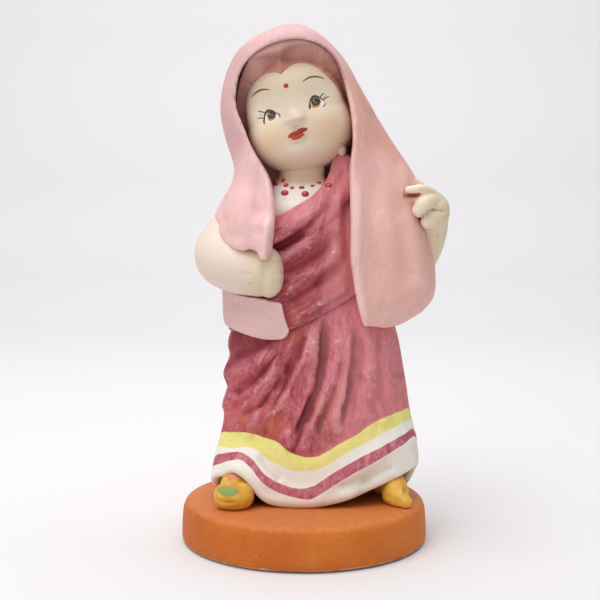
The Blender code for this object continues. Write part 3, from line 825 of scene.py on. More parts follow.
points = points_of(skirt)
store(skirt, "bands", band_count(points))
dx, dz = points[:, 0] - BRUSH_CENTRE[0], BRUSH_CENTRE[1] - points[:, 2]
fan, reach = np.arctan2(dx, dz), np.hypot(dx, dz)
behind = 3.0 * np.maximum(points[:, 1], 0) * np.tanh((points[:, 0] - 1) / 14)
grain(skirt, fan * 46 + behind, reach)
print("bands reach", round(float(band_count(points).max()), 2))


# %% Rose paint of the sari
def sari_paint(name, lighter, deeper, banded=False):
    """Rose over a dark coat; lighter is where (x) it pales and deeper where (z) it darkens."""
    paint = Paint(name, roughness=0.62, specular=0.35)
    flow = paint.stored("grain", "Vector")
    fine, broad = paint.stored("relief_fine"), paint.stored("relief_broad")
    dab = paint.noise(paint.mapped(flow, scale=(0.24, 0.10, 1)), 1.0, 3, 0.6, 1.6)
    shifted = paint.mapped(flow, scale=(0.62, 0.15, 1), offset=(7, 3, 0))
    wide = paint.noise(shifted, 1.0, 3, 0.6, 1.2)
    hair = paint.noise(paint.mapped(flow, scale=(1.7, 0.36, 1)), 1.0, 3, 0.6, 0.9)
    scuff = paint.noise(paint.place, 640, 4, 0.68)
    patch = paint.noise(paint.place, 95, 3)
    stain = paint.noise(paint.mapped(paint.place, offset=(0.3, 0.1, 0.2)), 62, 2)
    paint.start(dab.step(0.32, 0.68), (0.37, 0.048, 0.060), (0.58, 0.125, 0.150))
    paint.lay(wide.step(0.42, 0.72) * 0.38, (0.72, 0.27, 0.30))
    paint.lay(wide.step(0.42, 0.26) * 0.45, (0.32, 0.036, 0.050))
    paint.lay(hair.step(0.52, 0.70) * 0.34, (0.80, 0.36, 0.38))
    paint.lay(hair.step(0.46, 0.30) * 0.42, (0.29, 0.026, 0.040))
    mottle = paint.noise(paint.place, 430, 4, 0.7)
    paint.lay(mottle.step(0.45, 0.33) * 0.50, (0.25, 0.022, 0.030))
    paint.lay(patch.step(0.50, 0.72) * 0.45, (0.62, 0.20, 0.27))
    paint.lay(stain.step(0.53, 0.66) * 0.60, (0.52, 0.120, 0.045))
    # painted shade: the hollows of the folds and the fine creases are darkened to deep crimson
    hollow = (broad * -1 + (dab - 0.5) * 0.3).step(0.04, 0.62)
    paint.lay(hollow * 0.65, (0.26, 0.020, 0.032))
    deep = (fine * -1).step(0.04, 0.20)
    paint.lay(deep * 0.85, (0.13, 0.008, 0.014))
    x, y, z = paint.place_mm()
    paint.lay(z.step(*deeper) * 0.48, (0.27, 0.022, 0.030))
    lit = x.step(*lighter).most(z.step(100, 108)) * (dab * 0.6 + 0.4)
    paint.lay(lit * 0.72, (0.80, 0.305, 0.325))
    # painted highlight: the crests of the folds are painted a paler pink
    crest = (broad + (wide - 0.5) * 1.0 + (scuff - 0.5) * 0.8).step(0.16, 0.95)
    paint.lay(crest * 0.32, (0.88, 0.50, 0.53))
    scratch = scuff.step(0.60, 0.70) * (broad + (hair - 0.5) * 1.4).step(0.12, 0.50)
    paint.lay(scratch * 0.6, (0.93, 0.78, 0.77))
    if banded:
        below_wrap = z - x * WRAP_SLOPE - wrap_height(0) + dab * 1.4
        shadow = below_wrap.step(-3.4, 0.2) * y.step(0, -6)
        paint.lay(shadow * 0.75, (0.20, 0.012, 0.020))
        wobble = (paint.noise(paint.place, 200, 2) - 0.5) * 0.20
        count = paint.stored("bands") + wobble
        cream = paint.mix(patch.step(0.35, 0.65), (0.88, 0.84, 0.76), (0.94, 0.90, 0.84))
        # painted shade: the white bands are darker brown in their hollows
        cream = paint.mix((broad * -1).step(0.05, 0.6) * 0.6, cream, (0.60, 0.50, 0.38))
        # painted shade: the white is browner low on the hem towards her left, by the shoe
        hem_foot_shade = count.step(1.05, 0.2) * patch.step(0.40, 0.62) * x.step(-6, 10)
        cream = paint.mix(hem_foot_shade * 0.6, cream, (0.66, 0.57, 0.40))
        yellow = paint.mix(wide.step(0.30, 0.70), (0.84, 0.75, 0.20), (0.88, 0.80, 0.30))
        yellow = paint.mix(hair.step(0.55, 0.8) * 0.25, yellow, (0.92, 0.89, 0.66))
        rose = paint.mix(wide.step(0.3, 0.7), (0.46, 0.085, 0.115), (0.66, 0.24, 0.29))
        rose = paint.mix(scuff.step(0.56, 0.68) * 0.3, rose, (0.88, 0.66, 0.66))
        paint.lay(count.step(4.03, 3.98), yellow)
        paint.lay(count.step(3.03, 2.97), cream)
        paint.lay(count.step(2.03, 1.97), rose)
        paint.lay(count.step(1.03, 0.97), cream)
    height = dab * 0.7 + wide * 0.4 + hair * 0.15 + scuff * 0.25
    return paint.finish(hair * 0.25 + 0.48, height, 0.26)


skirt_rose = sari_paint("sari_rose_banded", (-6, 20), (-2, -3), banded=True)
finished(skirt, skirt_rose, "sari_rose", "skirt")

# %% [markdown]
# ## The wrapped sari
# Two lumps pressed together: a band of clay round the body with rolled lips above and below, and
# the loose end of the sari, a flat strap that climbs to her left shoulder. The strokes then run
# the same way as the pull of the cloth.

# %% Sculpt the wrap
NECK_LINE = [(-22, 96), (-14, 101.6), (-9, 104.6), (-4.4, 107.4), (0.3, 109.8), (4.3, 111.5),
             (8, 114),
             (12, 116), (20, 112)]


def wrap_place(turn, rise):
    middle = on_sections(BODY_SECTIONS, turn, np.full(len(turn), 90.0))
    low = np.maximum(wrap_height(middle[:, 0]), SKIRT_TOP)
    table = smooth_rows(NECK_LINE, 120)
    high = np.where(middle[:, 1] < 0, np.interp(middle[:, 0], table[:, 0], table[:, 1]), 108.0)
    edge = 0.06  # the share of the rows that goes round each lip
    under, over = np.clip(rise / edge, 0, 1), np.clip((rise - 1 + edge) / edge, 0, 1)
    body = np.clip((rise - edge) / (1 - 2 * edge), 0, 1)
    height = low + body * (high - low) + LIP * (np.sin(math.pi * (1 + under * 0.5)) + 1) - LIP
    height += LIP * np.sin(math.pi / 2 * over)
    grow = 1.2 + LIP * np.cos(math.pi * (1 + under * 0.5)) * (rise < edge)
    grow -= LIP * (1 - np.cos(math.pi / 2 * over)) * 1.6
    return on_sections(BODY_SECTIONS, turn, height, grow)


wrap = rolled("wrap_band", 200, 110, wrap_place)
strap = limb("strap", [
    (-19, -8.2, 98.0, 4.2), (-9, -12.0, 100.2, 4.9), (-1, -12.8, 103.9, 5.1),
    (5, -11.8, 107.9, 4.9), (9.6, -9.8, 112.6, 4.8), (11.6, -7.2, 117.6, 4.2),
    (12.0, -5.0, 122.5, 3.4),
], columns=80, rows=120, flat=0.62, up=(0, 1, 0))
torso = fused("sari_wrap", [wrap, strap], voxel=0.42, smooth=9)
strokes(torso, [
    ("ridge", 0.8, 3.0, [(-13, 99.4), (-3, 103.6), (4.5, 108.4)]),
    ("crease", 1.7, 1.4, [(-13, 92.6), (-9.1, 95.0), (-2.8, 98.6), (1.5, 101.8), (4.9, 105.6),
                          (8.2, 110.6)]),
    ("ridge", 1.3, 2.6, [(-12, 90.6), (-7.2, 92.6), (-1.0, 96.4), (4.6, 101.1), (9.0, 108)]),
    ("crease", 1.3, 1.7, [(-8.6, 86.6), (0.3, 91.0), (7.1, 95.6), (11.0, 101.5)]),
    ("ridge", 1.3, 2.8, [(-8.5, 82.5), (0.5, 87.0), (7.6, 91.6), (11.6, 97.5)]),
    ("crease", 1.1, 1.6, [(-7.6, 77.4), (0.9, 82.2), (7.2, 86.2), (13.2, 91.6)]),
    ("ridge", 0.8, 2.6, [(-6, 74.4), (1.0, 78.8), (7.6, 82.8), (14.6, 87.4)]),
    ("crease", 0.9, 1.2, [(8.8, 115), (7.7, 109.0), (6.6, 104.0), (5.0, 99.5)]),
    ("ridge", 1.0, 1.8, [(10.6, 115), (10.4, 106.5), (9.8, 100), (8.2, 95.0)]),
    ("crease", 1.0, 1.5, [(13.2, 114), (13.4, 104.0), (13.6, 96.3), (13.2, 90)]),
    ("crease", 0.7, 1.1, [(12.9, 121), (10.6, 116.5), (9.0, 112)]),
    ("crease", 0.5, 1.3, [(-4, 100.4), (1, 103.6), (4.6, 107.4)]),
    ("crease", 0.4, 1.1, [(2, 89.6), (6.6, 93.4), (9.2, 98.6)]),
    ("ridge", 0.9, 1.4, [(-5.2, 71.6), (-1.4, 74.8), (4.6, 78.4), (10, 81.4), (15, 84.4)]),
])


def wrap_lean(x, most=48):
    """How steeply the cloth runs at x: up to most degrees steeper towards the strap."""
    return np.radians(32 + most * smooth_step(3, 14, x))


def wrap_flow(x, _):
    return float(np.cos(wrap_lean(x))), float(np.sin(wrap_lean(x)))


dabs(torso, 60, wrap_flow, (-10, 16), (72, 112), height=0.5)
dabs(torso, 40, lambda x, z: (0.8, 0.6), (-16, 16), (74, 104), facing=BACK)
ripple(torso, 0.08, 9, PAINT_SEED + 2)
relief(torso, (6, 70))
points = points_of(torso)
lean = wrap_lean(points[:, 0])
across = np.linspace(-40, 40, 400)
sweep = np.interp(points[:, 0], across, np.cumsum(np.tan(wrap_lean(across, 40))) * 0.2)
grain(torso, (points[:, 2] - sweep) * np.cos(lean), points[:, 0] / np.cos(lean))
finished(torso, sari_paint("sari_rose_wrap", (4, 10), (104, 96)), "sari_rose", "torso", "pallu")

# %% [markdown]
# ## Skin, neck and choli
# Skin is one thin cream coat over white bisque. Its hollows are painted warmer and its fine creases
# darker, as painted shade, and it has the odd dark speck of grog. The choli is the same clay left
# white.

# %% Cream skin paint
def skin_paint(name, base, warm=(0.66, 0.46, 0.31), white_below=None, near_hand=None):
    """white_below is the height under which it is left white; near_hand is where (x) it yellows."""
    paint = Paint(name, roughness=0.5, specular=0.4)
    fine, broad = paint.stored("relief_fine"), paint.stored("relief_broad")
    patch = paint.noise(paint.place, 55, 3)
    mottled = paint.noise(paint.place, 420, 3)
    x, _, z = paint.place_mm()
    lighter = tuple(min(1.0, v * 1.07) for v in base)
    paint.start(patch.step(0.35, 0.68), base, lighter)
    paint.lay(mottled.step(0.5, 0.8) * 0.18, warm)
    # painted shade: the hollows are painted warmer and darker
    paint.lay((broad * -1).step(0.08, 0.6) * 0.5, warm)
    if white_below is not None:
        edge = (z + (patch - 0.5) * 2.0).step(white_below + 1.2, white_below - 1.2)
        white = paint.mix(patch, (0.93, 0.86, 0.79), (0.97, 0.93, 0.88))
        paint.lay(edge, white)
    if near_hand is not None:
        reach = (x + (patch - 0.5) * 4.0).step(*near_hand)
        paint.lay(reach * 0.6, (0.70, 0.575, 0.36))
    # painted shade: the fine creases are painted darker still
    paint.lay((fine * -1).step(0.05, 0.2) * 0.6, tuple(v * 0.55 for v in warm))
    specks = paint.noise(paint.place, 1100, 1)
    paint.lay(specks.step(0.74, 0.78) * 0.6, (0.30, 0.16, 0.10))
    height = mottled * 0.6 + specks * 0.2
    return paint.finish(patch * 0.2 + 0.40, height, 0.05)


# %% Sculpt the bust
def bust_place(turn, rise):
    outer = on_sections(BODY_SECTIONS, turn, 96 + rise * 32)
    hidden = np.maximum(smooth_step(6, 10, outer[:, 0]), smooth_step(104, 100, outer[:, 2]))
    return on_sections(BODY_SECTIONS, turn, 96 + rise * 32, -2.4 * hidden)


bust = fused("choli_and_neck", [rolled("chest", 160, 120, bust_place)], voxel=0.45, smooth=10)
strokes(bust, [
    ("ridge", 0.5, 2.6, [(-12, 109), (-4, 108.4), (3, 109.6)]),
    ("crease", 0.35, 1.0, [(-10, 120.5), (-7.5, 117.4), (-3.8, 115.9), (1.9, 116.0),
                           (5.6, 117.6), (9.7, 121)]),
])
relief(bust)
neck_skin = skin_paint("neck_and_choli", (0.67, 0.52, 0.345), white_below=115.6)
finished(bust, neck_skin, "choli_white", "bust")

# %% [markdown]
# ## Arms and hands
# Each arm is a limb through a few stations, pressed onto a palm and rolled fingers. Her right
# hand pinches the veil's edge from below; her left hand lays its first finger over the veil.

# %% Sculpt the arms
right_arm = fused("arm_and_hand_right", [
    limb("sleeve_right", [
        (-16.5, 1.0, 107.0, 6.6), (-23.0, -1.6, 99.6, 8.2), (-26.0, -5.6, 93.0, 8.9),
        (-21.0, -10.8, 89.6, 8.2), (-14.2, -13.2, 88.0, 7.4),
    ], 72, 110),
    ball("palm_right", (-10.9, -14.8, 88.2), (4.6, 5.4, 7.9)),
    ball("knuckles_right", (-10.2, -16.6, 86.8), (3.8, 4.2, 5.8)),
], voxel=0.36, smooth=8)
left_arm = fused("arm_and_hand_left", [
    limb("sleeve_left", [
        (17.5, 3.0, 107.0, 6.6), (27.0, 4.0, 97.0, 6.8), (34.6, 3.6, 90.6, 6.0),
        (38.4, 0.6, 92.4, 4.8),
        (40.4, -3.0, 96.4, 4.2), (41.3, -6.0, 100.6, 4.1), (41.0, -8.4, 104.4, 4.5),
    ], 72, 120),
    ball("palm_left", (41.0, -9.8, 107.0), (4.7, 5.0, 6.1)),
    limb("finger_left_1", [(41.2, -10.8, 110.6, 2.7), (39.2, -12.4, 113.0, 1.8),
                           (36.4, -14.4, 114.2, 1.45),
                           (34.2, -14.8, 114.1, 1.3), (32.2, -14.4, 113.9, 1.1)], 32, 50),
    limb("finger_left_2", [(40.4, -11.5, 110.4, 2.8), (37.4, -14.0, 109.6, 3.0),
                           (35.7, -14.2, 107.6, 2.3)], 40, 40),
    limb("finger_left_3", [(42.5, -9.5, 105.0, 3.0), (39.8, -12.0, 104.5, 3.0),
                           (38.5, -12.8, 104.0, 2.3)], 40, 40),
], voxel=0.30, smooth=6)
strokes(left_arm, [
    ("crease", 0.8, 0.55, [(36.0, 104.4), (37.6, 106.8), (40.8, 107.7), (45.2, 107.0)]),
    ("crease", 0.35, 0.6, [(38.4, 99.6), (40.4, 98.8), (42.6, 99.4)]),
    ("crease", 0.3, 0.6, [(39.4, 96.2), (41.2, 95.6), (43.2, 96.4)]),
    ("crease", 0.3, 0.6, [(41.0, 103.6), (41.6, 100.0), (41.2, 96.4)]),
])
strokes(right_arm, [
    ("crease", 0.3, 0.6, [(-5.4, 91.4), (-7.6, 91.7), (-9.8, 91.5)]),
    ("crease", 0.3, 0.6, [(-5.2, 88.0), (-7.6, 88.4), (-10.2, 88.4)]),
    ("crease", 0.3, 0.6, [(-5.4, 84.8), (-7.6, 85.3), (-9.8, 85.4)]),
    ("crease", 0.25, 0.5, [(-19.6, 88.9), (-17.4, 88.0), (-15.2, 88.2)]),
    ("crease", 0.2, 0.5, [(-16.4, 87.0), (-14.6, 86.6), (-13.0, 87.2)]),
    ("crease", 0.25, 0.7, [(-12.2, 93.6), (-12.6, 90.0), (-12.0, 86.0)]),
])
for arm, side, base, yellowed in (
    (right_arm, "right", (0.76, 0.63, 0.53), (-20.5, -15.0)),
    (left_arm, "left", (0.84, 0.70, 0.56), (34.0, 42.0)),
):
    ripple(arm, 0.05, 9, PAINT_SEED + 3)
    relief(arm)
    cream = skin_paint(arm.name + "_cream", base, (0.62, 0.48, 0.32), near_hand=yellowed)
    finished(arm, cream, "skin_cream", f"arm_{side}", f"hand_{side}")

# %% [markdown]
# ## The head
# The head is made in its own upright space and then leaned to her right. Its features are soft
# swellings on a ball: full cheeks, a button nose, small lips and a chin. Everything that reads as
# drawing on the real doll, such as brows, lashes and irises, is paint and not shape.

# %% Head space and face relief
HEAD_CENTRE = Vector((-1.9, 0, 137.3))
HEAD_LEAN, HEAD_TURN = math.radians(-15), math.radians(-5)
HEAD_RADII = np.array([16.4, 16.2, 18.2])
HEAD_TURNED = Matrix.Rotation(HEAD_LEAN, 4, "Y") @ Matrix.Rotation(HEAD_TURN, 4, "Z")
HEAD_SPACE = Matrix.Translation(HEAD_CENTRE) @ HEAD_TURNED
ROUNDNESS = 2.22


def cheek_width(z):
    return 1 + 0.10 * np.sin(math.pi * np.clip(-z / HEAD_RADII[2], 0, 1))


def swelling(x, z, centre, spread, below=None):
    """A soft bump; below is its spread downwards where that differs."""
    dx, dz = x - centre[0], z - centre[1]
    tall = np.where(dz > 0, spread[1], below or spread[1])
    return np.exp(-(dx / spread[0]) ** 2 - (dz / tall) ** 2)


FACE_FORMS = [
    (2.7, (0.1, -1.4), (2.2, 2.3), 1.3), (0.6, (-2.2, -1.3), (0.95, 0.9), None),
    (0.6, (1.7, -1.6), (0.95, 0.9), None), (0.55, (-8.2, -5.6), (5.0, 4.6), None),
    (0.55, (8.0, -5.8), (5.0, 4.6), None), (-0.55, (-6.8, 2.2), (4.0, 3.0), None),
    (-0.55, (7.2, 2.4), (4.0, 3.0), None), (0.75, (-1.5, -5.6), (1.5, 0.9), None),
    (0.75, (1.0, -5.4), (1.5, 0.9), None), (0.85, (-0.3, -6.9), (2.0, 1.0), None),
    (-0.55, (-0.6, -8.5), (2.4, 0.7), None), (0.9, (-0.9, -11.6), (4.2, 3.0), None),
    (-0.35, (-0.4, -3.9), (0.8, 0.9), None), (0.5, (0, 9.5), (9.0, 4.5), None),
]


def make_head():
    head = ball("head_and_face", (0, 0, 0), (1, 1, 1), segments=280, rings=190)
    unit = points_of(head)
    unit *= (abs(unit) ** ROUNDNESS).sum(1, keepdims=True) ** (-1 / ROUNDNESS)
    local = unit * HEAD_RADII
    local[:, 0] *= cheek_width(local[:, 2])
    facing = smooth_step(-0.1, 0.55, -unit[:, 1])
    out = sum(h * swelling(local[:, 0], local[:, 2], c, s, b) for h, c, s, b in FACE_FORMS)
    local += unit * (out * facing)[:, None]
    set_points(head, local)
    strokes(head, [("crease", 0.45, 0.4, [(-3.6, -6.1), (-1.6, -5.95), (-0.5, -6.15),
                                          (0.8, -5.8), (2.9, -5.3)])])
    return head


head = make_head()
ear = ball("ear_lobe", (10.9, -5.2, -13.5), (1.6, 2.0, 2.6), segments=40, rings=24)
head = relief(gathered("head_and_face", [head, ear]))
head.data.transform(HEAD_SPACE)
print("head:", len(head.data.polygons), "faces")

# %% [markdown]
# The face is drawn in the head's space too. A Mapping node undoes the head's lean, so two numbers,
# how far to her left and how far up, place every brush mark. A mark is either an ellipse or a
# tapering line that bends like a parabola.

# %% Marks of a fine brush
class FacePaint(Paint):
    """Paint whose marks are placed in head space, in mm."""

    def open_face(self):
        turned = HEAD_TURNED.to_euler()
        local = self.mapped(self.place, (MM, MM, MM), HEAD_CENTRE * MM, tuple(turned), "TEXTURE")
        self.u, self.v, self.w = self.parts(local)
        self.front = self.v.step(0.0, -3.0)  # no mark may wrap round to the back of the head

    def ellipse(self, centre, radii, turn=0.0, soft=0.12):
        c, s = math.cos(turn), math.sin(turn)
        du, dw = self.u - centre[0], self.w - centre[1]
        a = (du * c + dw * s) / radii[0]
        b = (dw * c - du * s) / radii[1]
        return (a * a + b * b).sqrt().step(1 + soft, 1 - soft) * self.front

    def line(self, start, end, sag, width, soft=0.07):
        """A brush line from start to end that bows out by sag and is width wide at most."""
        across, up = end[0] - start[0], end[1] - start[1]
        half = math.hypot(across, up) / 2
        c, s = across / (2 * half), up / (2 * half)
        du = self.u - (start[0] + end[0]) / 2
        dw = self.w - (start[1] + end[1]) / 2
        t = (du * c + dw * s) / half
        bend = 1 - t * t
        off = (dw * c - du * s - bend * sag).abs()
        thick = bend.sqrt() * (width / 2)
        return (thick - off).step(-soft, soft) * bend.step(0.0, 0.02) * self.front


print("brush marks ready")


# %% Paint the face
def face_paint():
    paint = FacePaint("face_cream", roughness=0.42, specular=0.4)
    paint.open_face()
    broad = paint.stored("relief_broad")
    patch = paint.noise(paint.place, 60, 3)
    paint.start(patch.step(0.3, 0.7), (0.79, 0.66, 0.50), (0.84, 0.72, 0.57))
    # painted shade: the forehead darkens upwards, as shaded by the hood
    paint.lay(paint.w.step(2.0, 11.0) * 0.9, (0.55, 0.435, 0.305))
    # painted shade: the chin is painted darker
    paint.lay(paint.w.step(-9.5, -14.5) * 0.6, (0.72, 0.55, 0.40))
    # painted shade: the hollows of the face are darker
    paint.lay((broad * -1).step(0.02, 0.4) * 0.5, (0.62, 0.46, 0.32))
    # painted shade: the ear lobe and the cheek beside it are darkened, as shaded between chin and
    # veil
    lobe = paint.u.step(10.6, 11.3) * paint.w.step(-11.5, -12.3)
    paint.lay(lobe * 0.8, (0.60, 0.44, 0.33))
    for centre, radii in (((-8.8, -5.6), (4.6, 3.6)), ((8.4, -6.4), (4.6, 3.6))):
        glow = paint.ellipse(centre, radii, 0.0, 0.85)
        paint.lay(glow * 0.42, (0.86, 0.46, 0.19))
    # painted shade: the nose is darkened, which tones down its highlight
    paint.lay(paint.ellipse((0.0, 0.3), (2.6, 2.4), 0, 0.8) * 0.7, (0.62, 0.50, 0.37))

    brown, ink, lid = (0.13, 0.065, 0.042), (0.050, 0.034, 0.028), (0.075, 0.042, 0.030)

    # her right eye
    paint.lay(paint.ellipse((-6.9, 1.1), (2.2, 1.45), 0.06, 0.10), (0.86, 0.78, 0.67))
    paint.lay(paint.ellipse((-7.0, 0.75), (1.3, 0.75), 0.05, 0.2), (0.60, 0.25, 0.075))
    paint.lay(paint.ellipse((-6.75, 1.75), (1.45, 1.2), 0.0, 0.2), (0.040, 0.024, 0.017))
    # painted highlights: a lighter spot and a pale dot in the iris
    paint.lay(paint.ellipse((-6.7, 1.6), (0.62, 0.5), 0, 0.5), (0.16, 0.125, 0.105), 0.8)
    paint.lay(paint.ellipse((-7.45, 2.15), (0.24, 0.20), 0, 0.4), (0.62, 0.58, 0.53), 0.8)
    paint.lay(paint.line((-9.9, -0.3), (-4.3, 0.8), 3.05, 0.85), lid)
    paint.lay(paint.line((-9.75, -0.5), (-9.0, 1.6), 0.25, 0.60), lid)
    paint.lay(paint.line((-4.35, 0.1), (-4.75, 1.9), -0.2, 0.50), lid, 0.8)
    paint.lay(paint.line((-8.3, 2.5), (-10.9, 4.1), -0.2, 0.42), ink, 0.9)
    paint.lay(paint.line((-9.1, 1.0), (-11.7, 1.9), -0.35, 0.42), ink, 0.9)
    paint.lay(paint.line((-8.9, 1.8), (-11.0, 3.0), -0.2, 0.25), ink, 0.5)
    # her left eye
    paint.lay(paint.ellipse((7.6, 1.4), (2.3, 1.45), 0.02, 0.10), (0.86, 0.78, 0.67))
    paint.lay(paint.ellipse((7.1, 0.85), (1.3, 0.7), 0.0, 0.2), (0.60, 0.25, 0.075))
    paint.lay(paint.ellipse((7.45, 2.0), (1.5, 1.2), 0.0, 0.2), (0.040, 0.024, 0.017))
    # painted highlights: a lighter spot and a pale dot in the iris
    paint.lay(paint.ellipse((7.35, 1.75), (0.6, 0.5), 0, 0.5), (0.16, 0.125, 0.105), 0.8)
    paint.lay(paint.ellipse((6.9, 2.5), (0.24, 0.20), 0, 0.4), (0.62, 0.58, 0.53), 0.8)
    paint.lay(paint.line((4.9, 0.5), (10.3, 1.2), 2.85, 0.85), lid)
    paint.lay(paint.line((5.0, 0.2), (5.5, 2.2), -0.2, 0.65), lid)
    paint.lay(paint.line((10.2, 1.1), (9.0, -0.1), 0.2, 0.40), lid, 0.8)
    paint.lay(paint.line((8.8, 2.6), (10.7, 4.0), 0.25, 0.42), ink, 0.9)
    paint.lay(paint.line((9.4, 1.7), (11.8, 2.6), 0.3, 0.42), ink, 0.9)
    paint.lay(paint.line((9.4, 2.2), (11.2, 3.3), 0.2, 0.25), ink, 0.5)
    # brows
    paint.lay(paint.line((-12.0, 8.8), (-5.2, 9.1), 1.15, 0.64), brown)
    paint.lay(paint.line((4.9, 8.8), (11.7, 8.2), 1.25, 0.64), brown)
    # lips: two lobes above, one below, and the line between them
    red, deep_red = (0.44, 0.050, 0.018), (0.13, 0.010, 0.006)
    paint.lay(paint.ellipse((-0.35, -6.2), (3.6, 1.9), 0.08, 0.45), (0.70, 0.36, 0.22), 0.35)
    paint.lay(paint.ellipse((-1.85, -5.85), (1.75, 0.72), 0.26, 0.12), red)
    paint.lay(paint.ellipse((1.15, -5.30), (1.75, 0.72), -0.02, 0.12), red)
    paint.lay(paint.ellipse((-0.55, -6.70), (2.15, 0.88), 0.12, 0.12), (0.48, 0.070, 0.026))
    paint.lay(paint.line((-3.5, -6.3), (2.9, -5.25), -0.25, 0.28), deep_red, 0.8)
    # painted shade: a dark line in the corner of the mouth
    paint.lay(paint.line((1.6, -5.5), (3.1, -5.0), 0.0, 0.36), (0.10, 0.03, 0.02), 0.8)
    # painted highlight: a pale line under the lower lip
    paint.lay(paint.line((-2.0, -7.7), (1.2, -7.45), -0.75, 0.30), (0.90, 0.80, 0.68), 0.5)
    return paint.finish(patch * 0.15 + 0.46, paint.noise(paint.place, 420, 3), 0.04)


finished(head, face_paint(), "skin_cream", "head")

# %% [markdown]
# ## Hair
# The hair shows only as a band between the face and the veil, drawn to a small peak in the
# middle of the brow. It is a height over the head's own front: just under the skin inside the
# hairline and just over it outside, puffed up towards the crown, where it fills the hood.

# %% Sculpt the hair
HAIRLINE = [
    (-16.0, -14.0), (-16.9, -6.0), (-16.5, 0.0), (-15.3, 4.9), (-13.7, 9.7), (-11.0, 13.0),
    (-7.7, 14.5), (-3.8, 14.4), (-1.9, 13.7), (-0.8, 12.9), (0.7, 13.9), (2.9, 15.0),
    (5.5, 15.0), (8.0, 14.0), (10.3, 12.0), (12.3, 9.2), (13.9, 6.2), (14.8, 2.8),
    (15.3, -1.0), (15.8, -6.0), (15.6, -14.0),
]


def veil_front(x, z):
    """How far forward the veil's outer face stands at (x, z)."""
    rows = smooth_rows(VEIL_SECTIONS, 400)
    left, right, front, back = (np.interp(z, rows[:, 0], rows[:, k]) for k in (1, 2, 3, 4))
    across = np.clip(abs(x - (left + right) / 2) / ((right - left) / 2), 0, 1)
    return (front + back) / 2 - (back - front) / 2 * (1 - across ** 2.3) ** (1 / 2.3)


def hair_place(turn, rise):
    angle = 2 * math.pi * turn
    tall = np.where(np.sin(angle) > 0, 24.2, 19.0)
    limit = 1 / np.hypot(np.cos(angle) / 19.2, np.sin(angle) / tall)
    reach = limit * np.clip(rise / 0.8, 0, 1)
    behind = np.clip((rise - 0.8) / 0.2, 0, 1)
    x, z = reach * np.cos(angle), reach * np.sin(angle)
    wide = HEAD_RADII[0] * cheek_width(z)
    inside = np.clip(1 - abs(x / wide) ** ROUNDNESS - abs(z / 18.2) ** ROUNDNESS, 0, 1)
    head_front = 16.2 * inside ** (1 / ROUNDNESS)
    flat = np.column_stack([x, z])
    distance, side, _ = near_path(flat, np.array(HAIRLINE, float))
    beyond = distance * np.where(side > 0, 1, -1)
    height = head_front - 1.4 + smooth_step(-0.5, 0.5, beyond) * 2.1
    shrink = 1 - behind * 0.7
    points = np.column_stack([x * shrink, -np.maximum(height, -2.0), z * shrink])
    world = points @ np.array(HEAD_SPACE.to_3x3()).T + np.array(HEAD_CENTRE)
    rim = veil_front(world[:, 0], world[:, 2]) + 1.5 + 2.2 * smooth_step(13, 3, z)
    swell = smooth_step(0.2, 6.5, beyond)
    world[:, 1] += swell * (np.minimum(rim, 6) - world[:, 1])
    world[:, 1] += behind * 10
    return world


hair = rolled("hair_band", 300, 130, hair_place)
points = points_of(hair)
angle = np.arctan2(points[:, 0] + 1, points[:, 2] - 141)
grain(hair, angle * 18, np.hypot(points[:, 0] + 1, points[:, 2] - 141))
relief(hair)


def hair_paint():
    paint = Paint("hair_mauve_brown", roughness=0.6, specular=0.3)
    flow = paint.stored("grain", "Vector")
    strands = paint.noise(paint.mapped(flow, scale=(1.0, 0.16, 1)), 1.0, 3, 0.6, 0.8)
    wide = paint.noise(paint.mapped(flow, scale=(0.26, 0.12, 1)), 1.0, 3, 0.6, 0.8)
    patch = paint.noise(paint.place, 120, 3)
    paint.start(wide.step(0.3, 0.7), (0.40, 0.140, 0.090), (0.50, 0.215, 0.160))
    outer = paint.parts(flow)[1].step(11.5, 18.5)
    paint.lay(outer * (patch * 0.8 + 0.2), (0.60, 0.36, 0.33))
    paint.lay(patch.step(0.50, 0.70) * 0.4, (0.54, 0.27, 0.24))
    # painted shade: the hair is darker at her right side, where it sits in a recess
    side = paint.place_mm()[0].step(-15.5, -19.0)
    paint.lay(side * 0.35, (0.30, 0.090, 0.055))
    paint.lay(strands.step(0.52, 0.72) * 0.30, (0.58, 0.32, 0.26))
    paint.lay(strands.step(0.46, 0.28) * 0.35, (0.27, 0.080, 0.055))
    return paint.finish(strands * 0.3 + 0.45, strands * 0.6 + patch * 0.4, 0.10)


finished(hair, hair_paint(), "hair_brown", "hair")

# %% [markdown]
# ## The veil
# A thick sheet of clay is thrown over her head, opened in front and pinched by both hands. It is
# cut the way a potter would: one solid lump, the front opening carved through it in a single
# outline from hem to crown and back, and a window for her right arm. Then the rims are rolled.

